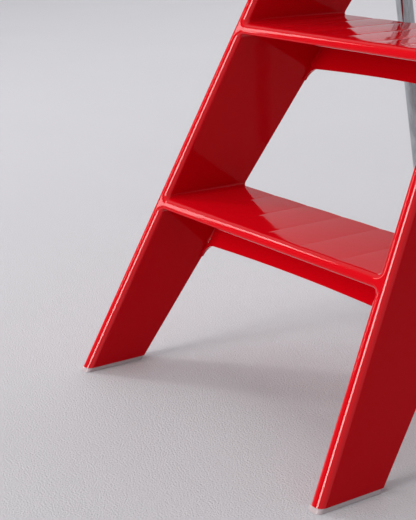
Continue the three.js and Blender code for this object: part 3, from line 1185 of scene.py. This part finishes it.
    def tread_bays(self) -> list[bpy.types.Object]:
        """The hollows between the ribs under each tread.

        Returns:
            The hollows.
        """
        lines = self.lines
        made = []
        for top in lines.treads:
            roof, floor = top - self.skin, top - self.nosing - 6
            half, pitch = self.bay_pitch(top)
            side = [
                (lines.front(floor) + self.rim, floor),
                (lines.rear(floor) - self.apron_wall, floor),
                (lines.rear(roof) - self.apron_wall, roof),
                (lines.front(roof) + self.rim, roof),
            ]
            starts = [-half + i * pitch for i in range(self.bays)]
            made += [across("bay", side, x, x + pitch - self.rib) for x in starts]
        return made

    def apron_low(self, top: float) -> float:
        """Height of an apron's lower edge below its tread."""
        return top - self.apron_drops[self.lines.treads.index(top)]

    def apron(self, top: float) -> bpy.types.Object:
        """The curtain behind a tread, with an arched lower edge and rounded corners.

        Args:
            top: Height of the tread.

        Returns:
            The curtain.
        """
        lines, corner = self.lines, self.apron_corner
        low = self.apron_low(top)
        reach = lines.inner(low) - corner
        over = self.wall / 2
        shares = [2 * i / self.apron_steps - 1 for i in range(self.apron_steps + 1)]
        edge = [(u * reach, low - self.apron_rise * u * u) for u in shares]
        angles = [math.pi / 2 * i / 8 for i in range(1, 9)]
        fillet = [
            (reach + corner * math.sin(a), low - self.apron_rise - corner * (1 - math.cos(a)))
            for a in angles
        ]
        foot = low - self.apron_rise - corner
        outline = [(-x, z) for x, z in reversed(fillet)] + edge + fillet
        outline += [
            (lines.inner(foot) + over, foot),
            (lines.inner(top) + over, top - self.skin / 2),
            (-lines.inner(top) - over, top - self.skin / 2),
            (-lines.inner(foot) - over, foot),
        ]
        shell = Shell()
        fronts = shell.row([(x, lines.rear(z) - self.apron_wall, z) for x, z in outline])
        backs = shell.row([(x, lines.rear(z), z) for x, z in outline])
        shell.bridge(fronts, backs)
        shell.cap([fronts], False, elevation)
        shell.cap([backs], True, elevation)
        return shell.piece("apron")

    def fillet(self, top: float) -> bpy.types.Object:
        """The small round web in the corner between an apron and a panel.

        Args:
            top: Height of the tread.

        Returns:
            The web on the right.
        """
        lines = self.lines
        radius, steps = self.web, 8
        shell = Shell()
        rows = []
        for z in (self.apron_low(top) - 1.0, top - self.nosing + 1.0):
            x, y = lines.inner(z), lines.rear(z) - self.apron_wall
            arc = [
                (x - radius * (1 - math.sin(math.pi / 2 * k / steps)),
                 y - radius * (1 - math.cos(math.pi / 2 * k / steps)), z)
                for k in range(steps + 1)
            ]
            arc += [(x + 1.0, y - radius, z), (x + 1.0, y + 1.0, z), (x - radius, y + 1.0, z)]
            rows.append(shell.row(arc))
        shell.wrap(rows)
        shell.close(rows, plan)
        return shell.piece("fillet")

    def ring(self, low: float, high: float, facing: float) -> bpy.types.Object:
        """A boss round the leg's pivot, rounded on the side that it faces.

        Args:
            low: Where it starts along x.
            high: Where it ends.
            facing: 1 for a boss that faces right, -1 for left.

        Returns:
            The boss.
        """
        bore, radius = self.lines.bore, self.ring_radius
        near, far = (low, high) if facing > 0 else (high, low)
        profile = [(bore, near), (radius, near), (radius, far - 0.8 * facing),
                   (radius - 0.8, far), (bore, far)]
        return turned("boss", profile, (0.0, *self.lines.pivot), Vector((1, 0, 0)))

    def stop_lug(self) -> bpy.types.Object:
        """The block that the top of a leg rests against.

        Returns:
            The block on the right.
        """
        pivot_y, pivot_z = self.lines.pivot
        size = math.hypot(1, LEG_LEAN)
        tube = RearFrame.tube + self.lug_gap

        def spot(along: float, off: float, radius: float) -> Point3:
            """A corner, from its distances along the leg and off its centre line."""
            y = pivot_y + (-LEG_LEAN * along + off) / size
            return y, pivot_z + (along + LEG_LEAN * off) / size, radius

        corners = [spot(12, -tube, 2.0), spot(31, -tube, 4.0),
                   spot(31, -tube - 13, 6.0), spot(8, -tube - 15, 6.0)]
        z = pivot_z + 20
        outline = rim_through(corners, COARSE, 12.0).points
        lug = across("lug", outline, self.lines.outer(z) - 2.4, RearFrame.leg_x(z) + 1)
        return softened(lug, 1.5, 3)

    def ledge(self) -> bpy.types.Object:
        """The shelf that carries one side of the platform.

        Returns:
            The shelf on the right.
        """
        inner, top = self.lines.inner, self.lines.ledge
        low, edge = top - self.ledge_drop, inner(top) - self.ledge_reach
        corners = [(inner(top) + 1.5, top, 0.0), (edge, top, 1.5), (edge, top - 6, 3.0),
                   (inner(low) + 1.5, low, 0.0)]
        return backward("ledge", rim_through(corners, COARSE, 15.0).points, *self.ledge_run)

    def build(self) -> list[bpy.types.Object]:
        """Makes the whole moulding.

        Returns:
            The one piece.
        """
        lines = self.lines
        body = self.shell()
        body.name = "front_frame_moulding"
        floor = [(-200, -200), (400, -200), (400, lines.sole), (-200, lines.sole)]
        worked(body, [across("floor_cut", floor, -400, 400)], Join.CUT)
        hollows = self.pockets()
        cores = [bar(16, -self.beyond, self.beyond, lines.pivot),
                 bar(13, -self.beyond, self.beyond, lines.hinge)]
        hollowed(hollows, cores)
        worked(body, hollows, Join.CUT)
        worked(body, self.tread_bays(), Join.CUT)
        for radius, start, spot in (
            (lines.bore, 140.0, lines.pivot), (lines.bore, 141.0, lines.hinge),
            (self.pin_head, 179.2, lines.hinge),
        ):
            bore = bar(radius, start, self.beyond, spot)
            worked(body, [bore, mirrored(bore, "bore")], Join.CUT)
        outer, inner = lines.outer(lines.pivot[1]), lines.inner(lines.pivot[1])
        right = [
            self.ring(outer - 2.6, outer + 2.2, 1.0),
            self.ring(inner - 2.2, inner + 2.6, -1.0),
            self.stop_lug(),
            self.ledge(),
        ]
        for piece in right:
            worked(body, [piece, mirrored(piece, piece.name)], Join.FUSE)
        for top in lines.treads:
            fillet = self.fillet(top)
            worked(body, [self.apron(top)], Join.FUSE)
            worked(body, [fillet, mirrored(fillet, "fillet")], Join.FUSE)
        return [shaded(body)]

    def dress(self, pieces: Sequence[bpy.types.Object]) -> None:
        """Dresses the moulding."""
        dressed_in_order(pieces, "front", [(Finish.RED, "front_frame")])


# ---------------------------------------------------------------------------------------------
# Rear frame
# ---------------------------------------------------------------------------------------------


@dataclass
class RearFrame:
    """The bent chrome tube with its rod, plugs and shoes."""

    lines: LadderLines = field(default_factory=LadderLines)
    tube: ClassVar[float] = 12.5
    shy: float = 0.3
    wall: float = 1.5
    bend: float = 48.0
    bend_steps: int = 24
    sides: int = 64
    bar_z: float = 17.5
    above_pivot: float = 33.0
    rod_below: float = 80.0
    rod: float = 5.0
    cap: float = 9.0
    shoe_half: float = 15.5
    shoe_top: float = 21.0
    shoe_length: float = 58.0
    shoe_x: float = 196.0
    grooves: int = 5

    @staticmethod
    def leg_x(z: float) -> float:
        """Half width between the legs' centre lines."""
        return 274.0 - CONVERGE * z

    @staticmethod
    def leg_y(z: float) -> float:
        """The legs' centre lines in the side view."""
        return 660.0 - LEG_LEAN * z

    def leg_spot(self, along: float) -> Point3:
        """A point of the right leg's centre line, at a distance above the pivot."""
        z = self.lines.pivot[1] + along / math.hypot(1, LEG_LEAN)
        return self.leg_x(z), self.leg_y(z), z

    def stations(self) -> list[tuple[Vector, Vector]]:
        """Points and directions along the tube's centre line.

        Returns:
            The points and directions.
        """
        top = self.leg_spot(self.above_pivot)[2]
        ends = [(-1, top), (-1, self.bar_z), (1, self.bar_z), (1, top)]
        corners = [Vector((s * self.leg_x(z), self.leg_y(z), z)) for s, z in ends]
        found = [(corners[0], (corners[1] - corners[0]).normalized())]
        for before, corner, after in zip(corners, corners[1:], corners[2:]):
            one, two = (corner - before).normalized(), (after - corner).normalized()
            turn = one.angle(two)
            axis = one.cross(two).normalized()
            start = corner - one * (self.bend * math.tan(turn / 2))
            centre = start + axis.cross(one) * self.bend
            for k in range(self.bend_steps + 1):
                swing = Quaternion(axis, turn * k / self.bend_steps)
                found.append((centre + swing @ (start - centre), swing @ one))
        found.append((corners[-1], (corners[-1] - corners[-2]).normalized()))
        return found

    def bent_tube(self) -> bpy.types.Object:
        """The hollow tube.

        Returns:
            The tube.
        """
        shell = Shell()
        stations = self.stations()
        square = (stations[0][1].cross(stations[1 + self.bend_steps][1])).normalized()
        angles = [2 * math.pi * k / self.sides for k in range(self.sides)]
        outside, inside = [], []
        for point, along in stations:
            side = square.cross(along).normalized()
            for rows, radius in ((outside, self.tube - self.shy), (inside, self.tube - self.wall)):
                rows.append(shell.row([
                    tuple(point + (side * math.cos(a) + square * math.sin(a)) * radius) for a in angles]))
        for rows in (outside, inside):
            shell.wrap(rows)
        shell.bridge(outside[0], inside[0])
        shell.bridge(outside[-1], inside[-1])
        return shell.piece("rear_tube")

    def brace(self) -> list[bpy.types.Object]:
        """The rod between the legs and its push-on caps.

        Returns:
            The rod, the right cap and the left cap.
        """
        x, y, z = self.leg_spot(-self.rod_below)
        right = Vector((1, 0, 0))
        end = x + self.tube + 8
        rod = turned("brace_rod_bar", [(0.0, -end), (self.rod - 1, -end), (self.rod, -end + 1),
                                       (self.rod, end - 1), (self.rod - 1, end), (0.0, end)],
                     (0, y, z), right)
        seat, inner = x + self.tube + 1, end + 0.3
        profile = [(self.rod + 0.3, seat), (self.cap - 0.6, seat), (self.cap, seat + 0.6),
                   (self.cap, seat + 3.6)]
        profile += crown(self.cap, seat + 3.6, inner + 2.2 - seat - 3.6)
        profile += [(0.0, inner), (self.rod + 0.3, inner)]
        cap = turned("rod_cap_dome_right", profile, (0, y, z), right)
        return [shaded(rod)] + paired(cap, "rod_cap_dome")

    def plug(self) -> bpy.types.Object:
        """A domed head over a spigot, in the right leg's cut end.

        Returns:
            The plug.
        """
        bore = self.tube - self.wall - 0.3
        profile = [(0.0, -12.0), (bore - 1, -12.0), (bore, -11.0), (bore, 0.3), (self.tube - 0.5, 0.3),
                   (self.tube, 0.8), (self.tube, 2.2)]
        profile += crown(self.tube, 2.2, 6.3, 10)
        up = Vector((-CONVERGE, -LEG_LEAN, 1))
        return turned("tube_plug_right", profile, self.leg_spot(self.above_pivot), up)

    def shoe(self) -> bpy.types.Object:
        """A grooved shoe clipped round the floor bar.

        Returns:
            The shoe on the right.
        """
        y, z = self.leg_y(self.bar_z), self.bar_z
        half, middle = self.shoe_half, self.shoe_x
        corners = [(y - half, 0.0, 2.0), (y + half, 0.0, 2.0), (y + half, self.shoe_top, 2.5),
                   (y - half, self.shoe_top, 2.5)]
        outline = rim_through(corners, COARSE, 15.0).points
        block = across("shoe", outline, middle - self.shoe_length / 2, middle + self.shoe_length / 2)
        block = softened(block, 1.2, 3)
        bore = across("shoe_bore", circle((y, z), self.tube + 0.3, 64), 100, 300)
        gap = [(y - self.tube, z + 2), (y + self.tube, z + 2), (y + self.tube, 60), (y - self.tube, 60)]
        mouth = across("shoe_mouth", gap, 100, 300)
        worked(block, [bore], Join.CUT)
        worked(block, [mouth], Join.CUT)
        grooves = []
        for k in range(self.grooves):
            x = middle - 20 + 10 * k
            notch = [(x - 1.2, -1), (x + 1.2, -1), (x + 0.6, 1.4), (x - 0.6, 1.4)]
            grooves.append(backward("groove", notch, y - 40, y + 40))
        worked(block, grooves, Join.CUT)
        block.name = "floor_shoe_right"
        return block

    def build(self) -> list[bpy.types.Object]:
        """Makes the rear frame.

        Returns:
            The tube, the rod, and the caps, plugs and shoes in pairs.
        """
        made = [shaded(self.bent_tube())] + self.brace()
        return made + paired(self.plug(), "tube_plug") + paired(self.shoe(), "floor_shoe")

    def dress(self, pieces: Sequence[bpy.types.Object]) -> None:
        """Dresses the rear frame's pieces in their order."""
        rows = [(Finish.CHROME, "rear_leg_tube"), (Finish.STEEL, "brace_rod")]
        rows += both_sides(Finish.PLASTIC, "rod_cap") + both_sides(Finish.PLASTIC, "tube_end_cap")
        dressed_in_order(pieces, "rear", rows + both_sides(Finish.SHOE, "rear_foot"))


# ---------------------------------------------------------------------------------------------
# Platform and small parts
# ---------------------------------------------------------------------------------------------


@dataclass
class Platform:
    """The lifting platform: deep skirt, flat top and ribbed underside."""

    lines: LadderLines = field(default_factory=LadderLines)
    front: float = 337.0
    back: float = 585.0
    depth: float = 30.0
    wall: float = 4.0
    edge: float = 6.0
    edge_steps: int = 7
    front_corner: float = 8.0
    back_corner: float = 26.0
    columns: int = 6
    rows: int = 3
    corner_trim: float = 10.0

    def slab(self) -> bpy.types.Object:
        """The platform's outer form.

        Returns:
            The form.
        """
        half, top = self.lines.deck_half, self.lines.platform
        corners = [(-half, self.front, self.front_corner), (half, self.front, self.front_corner),
                   (half, self.back, self.back_corner), (-half, self.back, self.back_corner)]
        rim = rim_through(corners, 6.0)
        shell = Shell()
        rows = [shell.row([(x, y, top - self.depth) for x, y in rim.points])]
        for k in range(self.edge_steps + 1):
            angle = math.pi / 2 * k / self.edge_steps
            inset = self.edge * (1 - math.cos(angle))
            height = top - self.edge * (1 - math.sin(angle))
            rows.append(shell.row([(x, y, height) for x, y in rim.inset(inset)]))
        shell.wrap(rows)
        shell.close(rows, plan)
        return shell.piece("platform_slab")

    def bays(self) -> list[bpy.types.Object]:
        """The hollows between the ribs of the underside.

        Returns:
            The hollows.
        """
        half, top = self.lines.deck_half, self.lines.platform
        pitch_x = (2 * half - self.wall) / self.columns
        pitch_y = (self.back - self.front - self.wall) / self.rows
        made = []
        for i in range(self.columns):
            for j in range(self.rows):
                corner_bay = j == self.rows - 1 and i in (0, self.columns - 1)
                trim = self.corner_trim if corner_bay else 0.0
                x0 = -half + self.wall + i * pitch_x + (trim if i == 0 else 0)
                x1 = -half + (i + 1) * pitch_x - (trim if i == self.columns - 1 else 0)
                y0 = self.front + self.wall + j * pitch_y
                outline = rectangle((x0, y0), (x1, y0 + pitch_y - self.wall - trim), 3.0, 30.0)
                made.append(upward("bay", outline, top - self.depth - 10, top - self.wall))
        return made

    def build(self) -> list[bpy.types.Object]:
        """Makes the platform.

        Returns:
            The one piece.
        """
        half, hinge = self.lines.deck_half, self.lines.hinge
        slab, bays = self.slab(), self.bays()
        boss = bar(10, half - 24, half + 5, hinge)
        hollowed(bays, [boss, mirrored(boss, "boss")])
        worked(slab, bays, Join.CUT)
        bore = bar(self.lines.bore, half - 20, half + 20, hinge)
        worked(slab, [bore, mirrored(bore, "bore")], Join.CUT)
        slab.name = "platform_moulding"
        return [shaded(slab)]

    def dress(self, pieces: Sequence[bpy.types.Object]) -> None:
        """Dresses the platform."""
        dressed_in_order(pieces, "deck", [(Finish.RED, "platform")])


@dataclass
class SmallParts:
    """Soles, pins, pads, bolts, nuts, spacers and the hoop's cover strip."""

    lines: LadderLines = field(default_factory=LadderLines)
    sole_rows: tuple[Point2, ...] = ((0.7, 0.0), (0.2, 0.2), (0.0, 0.7), (0.0, 4.5), (0.3, 5.0))
    pad_run: Point2 = (406.0, 516.0)
    pad_width: float = 12.0
    pad_levels: Point2 = (632.7, 634.6)
    strip_half: float = 84.7
    strip_depth: Point2 = (46.0, 49.5)
    strip_gap: float = 3.8
    shank: float = 4.0
    bolt_head: float = 9.5
    pin_head: float = 9.0
    pin_seat: float = 179.5
    spacer: float = 11.0
    nut: float = 7.5
    dome: float = 6.0

    def sole(self) -> bpy.types.Object:
        """A sole that follows the foot's leaning outline.

        Returns:
            The sole on the right.
        """
        lines = self.lines
        inner, outer, depth = lines.inner(0), lines.outer(0), lines.foot_depth
        corners = [(inner, 0.0, 6.0), (outer, 0.0, 6.0), (outer, depth, 1.5), (inner, depth, 1.5)]
        rim = rim_through(corners, 8.0)
        shell = Shell()
        rows = []
        for inset, z in self.sole_rows:
            rows.append(shell.row([
                (x - CONVERGE * z, y + FRONT_LEAN * z, z) for x, y in rim.inset(inset)]))
        shell.wrap(rows)
        shell.close(rows, plan)
        return shell.piece("sole_right")

    def rest_pad(self) -> bpy.types.Object:
        """The rubber strip on the right ledge."""
        outer = self.lines.inner(self.lines.ledge) - 3
        outline = rectangle((outer - self.pad_width, self.pad_run[0]), (outer, self.pad_run[1]), 3.0)
        return softened(upward("rest_strip_right", outline, *self.pad_levels), 0.5, 2)

    def grip_cover(self) -> bpy.types.Object:
        """The strip in the back of the hoop's top bar."""
        low, high = self.lines.top - self.lines.grip + self.strip_gap, self.lines.top - self.strip_gap
        outline = rectangle((-self.strip_half, low), (self.strip_half, high), 4.0)
        return softened(backward("grip_strip", outline, *self.strip_depth, FRONT_LEAN), 0.6, 3)

    def leg_bolt(self) -> bpy.types.Object:
        """The domed bolt that the right leg turns on.

        Returns:
            The bolt.
        """
        y, z = self.lines.pivot
        tip = self.lines.inner(z) - 8
        seat = RearFrame.leg_x(z) + RearFrame.tube + 1.6
        head = self.bolt_head
        profile = [(0.0, tip), (3.4, tip), (self.shank, tip + 0.6), (self.shank, seat),
                   (head - 0.5, seat), (head, seat + 0.5), (head, seat + 1.2)]
        profile += crown(head, seat + 1.2, 4.2)
        return turned("leg_bolt_dome_right", profile, (0, y, z), Vector((1, 0, 0)))

    def hinge_pin(self) -> bpy.types.Object:
        """The headed pin that the platform turns on.

        Returns:
            The pin on the right.
        """
        tip, seat, head = self.lines.deck_half - 18, self.pin_seat, self.pin_head
        profile = [(0.0, tip), (3.2, tip), (self.shank, tip + 0.8), (self.shank, seat),
                   (head - 0.2, seat), (head, seat + 0.2), (head, seat + 1.2)]
        profile += crown(head, seat + 1.2, 2.6)
        return turned("hinge_pin_right", profile, (0, *self.lines.hinge), Vector((1, 0, 0)))

    def leg_spacer(self) -> bpy.types.Object:
        """The ring between the panel and the right leg.

        Returns:
            The ring.
        """
        y, z = self.lines.pivot
        low, high = self.lines.outer(z) + 2.5, RearFrame.leg_x(z) - RearFrame.tube - 1.8
        bore = self.lines.bore
        profile = [(bore, low), (self.spacer, low), (self.spacer, high), (bore, high)]
        return softened(turned("spacer_ring_right", profile, (0, y, z), Vector((1, 0, 0))), 0.3, 2)

    def cap_nut(self) -> bpy.types.Object:
        """A hexagon nut with a domed end and a blind bore.

        Returns:
            The nut on the right.
        """
        pivot = self.lines.pivot
        inner = self.lines.inner(pivot[1])
        seat = inner - 2.5
        left = Vector((-1, 0, 0))
        hexagon = across("hexagon", circle(pivot, self.nut, 6), seat - 6.5, seat)
        softened(hexagon, 0.5, 2)
        dome = [(0.0, 3.0), (self.dome - 0.1, 3.0), (self.dome, 6.6)] + crown(self.dome, 6.6, 5.4)
        worked(hexagon, [turned("dome", dome, (seat, *pivot), left, 48)], Join.FUSE)
        depth = seat - (inner - 8.5)
        bore = [(0.0, -3.0), (4.2, -3.0), (4.2, depth), (0.0, depth)]
        worked(hexagon, [turned("bore", bore, (seat, *pivot), left, 48)], Join.CUT)
        hexagon.name = "cap_nut_right"
        return hexagon

    def build(self) -> list[bpy.types.Object]:
        """Makes the small parts.

        Returns:
            Six pairs and the cover strip.
        """
        made = paired(self.sole(), "sole") + paired(self.rest_pad(), "rest_strip")
        made += paired(self.leg_bolt(), "leg_bolt_dome") + paired(self.hinge_pin(), "hinge_pin")
        made += paired(self.leg_spacer(), "spacer_ring") + paired(self.cap_nut(), "cap_nut")
        return made + [shaded(self.grip_cover())]

    def dress(self, pieces: Sequence[bpy.types.Object]) -> None:
        """Dresses the small parts in their order."""
        rows = both_sides(Finish.SOLE, "front_pad") + both_sides(Finish.REST, "rest_pad")
        rows += both_sides(Finish.STEEL, "leg_bolt") + both_sides(Finish.STEEL, "platform_pin")
        rows += both_sides(Finish.PLASTIC, "leg_spacer") + both_sides(Finish.STEEL, "leg_nut")
        dressed_in_order(pieces, "front", rows + [(Finish.RED, "grip_cover")])


# ---------------------------------------------------------------------------------------------
# Studio
# ---------------------------------------------------------------------------------------------


@dataclass(frozen=True)
class Softbox:
    """A rectangular soft light: sizes and places in metres, power in watts, turn in degrees."""

    name: str
    spot: Point3
    aim: Point3
    size: Point2
    power: float
    tint: Point3
    mirrored_in: bool
    turn: float = 0.0

    def hang(self) -> None:
        """Makes the light; glossy surfaces show it where it is mirrored in."""
        data = bpy.data.lights.new(self.name, "AREA")
        data.shape = "RECTANGLE"
        data.size, data.size_y = self.size
        data.energy = self.power
        data.color = self.tint
        made = bpy.data.objects.new(self.name, data)
        made.location = self.spot
        facing = (Vector(self.aim) - Vector(self.spot)).to_track_quat("-Z", "Y").to_matrix()
        made.rotation_euler = (facing @ Matrix.Rotation(math.radians(self.turn), 3, "Z")).to_euler()
        made.visible_glossy = self.mirrored_in
        bpy.context.scene.collection.objects.link(made)


@dataclass
class Studio:
    """Seamless sweep, soft lights and the camera."""

    eye: Point3 = (1183.9, -751.2, 634.2)
    azimuth: float = 56.25
    elevation: float = 16.75
    roll: float = -1.0
    lens: float = 89.5
    far: float = 60.0
    sweep_half: float = 14.0
    sweep_run: Point2 = (-9.0, 9.0)
    sweep_radius: float = 3.0
    sweep_height: float = 7.0
    sweep_steps: int = 16
    room: tuple[float, ...] = (0.96, 0.98, 1.0, 1.0)
    room_strength: float = 0.36
    softboxes: tuple[Softbox, ...] = (
        Softbox("key", (-0.3, -5.8, 2.4), (0.0, 0.0, 0.3), (1.9, 3.6), 245.0, (1.0, 0.99, 0.98), True),
        Softbox("strip", (-3.22, -1.68, 1.83), (0.0, -0.1, 0.4), (0.42, 2.4), 34.0, (1.0, 1.0, 1.0),
                True, 23.5),
        Softbox("top", (-2.9, 2.7, 5.3), (-2.9, 2.7, 0.0), (8.0, 8.0), 360.0, (0.98, 0.99, 1.0), False),
    )

    def camera(self) -> None:
        """Sets up the camera."""
        a, e, r = (math.radians(v) for v in (self.azimuth, self.elevation, self.roll))
        back = Vector((math.sin(a) * math.cos(e), -math.cos(a) * math.cos(e), math.sin(e)))
        right = (-back).cross(Vector((0, 0, 1))).normalized()
        up = right.cross(-back)
        right, up = right * math.cos(r) + up * math.sin(r), up * math.cos(r) - right * math.sin(r)
        pose = Matrix((right, up, back)).transposed().to_4x4()
        pose.translation = at(*self.eye)
        data = bpy.data.cameras.new("camera")
        data.lens = self.lens
        data.clip_end = self.far
        made = bpy.data.objects.new("camera", data)
        made.matrix_world = pose
        bpy.context.scene.collection.objects.link(made)
        bpy.context.scene.camera = made

    def sweep(self) -> None:
        """The floor, one wide sheet that curves up far behind the ladder."""
        shell = bmesh.new()
        near, wall = self.sweep_run
        radius = self.sweep_radius
        angles = [math.pi / 2 * k / self.sweep_steps for k in range(self.sweep_steps + 1)]
        run = [(near, 0.0)]
        run += [(wall - radius + radius * math.sin(a), radius - radius * math.cos(a)) for a in angles]
        run.append((wall, self.sweep_height))
        facing = Matrix.Rotation(math.radians(self.azimuth), 3, "Z")
        sides = (-self.sweep_half, self.sweep_half)
        rows = []
        for forward, height in run:
            rows.append([shell.verts.new(facing @ Vector((side, forward, height))) for side in sides])
        for one, two in zip(rows, rows[1:]):
            shell.faces.new((one[0], one[1], two[1], two[0]))
        mesh = bpy.data.meshes.new("sweep")
        shell.to_mesh(mesh)
        shell.free()
        made = bpy.data.objects.new("sweep", mesh)
        bpy.context.scene.collection.objects.link(made)
        mesh.shade_smooth()
        mesh.materials.append(StudioPaper().make())

    def lights(self) -> None:
        """Hangs the lights and sets the room's faint fill."""
        for softbox in self.softboxes:
            softbox.hang()
        world = bpy.data.worlds.new("room")
        bpy.context.scene.world = world
        world.use_nodes = True
        background = world.node_tree.nodes["Background"]
        background.inputs["Color"].default_value = self.room
        background.inputs["Strength"].default_value = self.room_strength
        bpy.context.scene.view_settings.view_transform = "Standard"
        bpy.context.scene.view_settings.look = "None"

    def build(self) -> None:
        """Makes the sweep and the lights."""
        self.sweep()
        self.lights()


def main() -> None:
    """Builds the ladder and its studio."""
    logging.basicConfig(level=logging.INFO, format="%(message)s")
    studio = Studio()
    studio.camera()
    pieces: list[bpy.types.Object] = []
    for assembly in (FrontMoulding(), RearFrame(), Platform(), SmallParts()):
        made = assembly.build()
        assembly.dress(made)
        pieces += made
        log.info("%s built", type(assembly).__name__)
    studio.build()
    log.info("%d pieces in all", len(pieces))


if __name__ == "__main__":
    main()
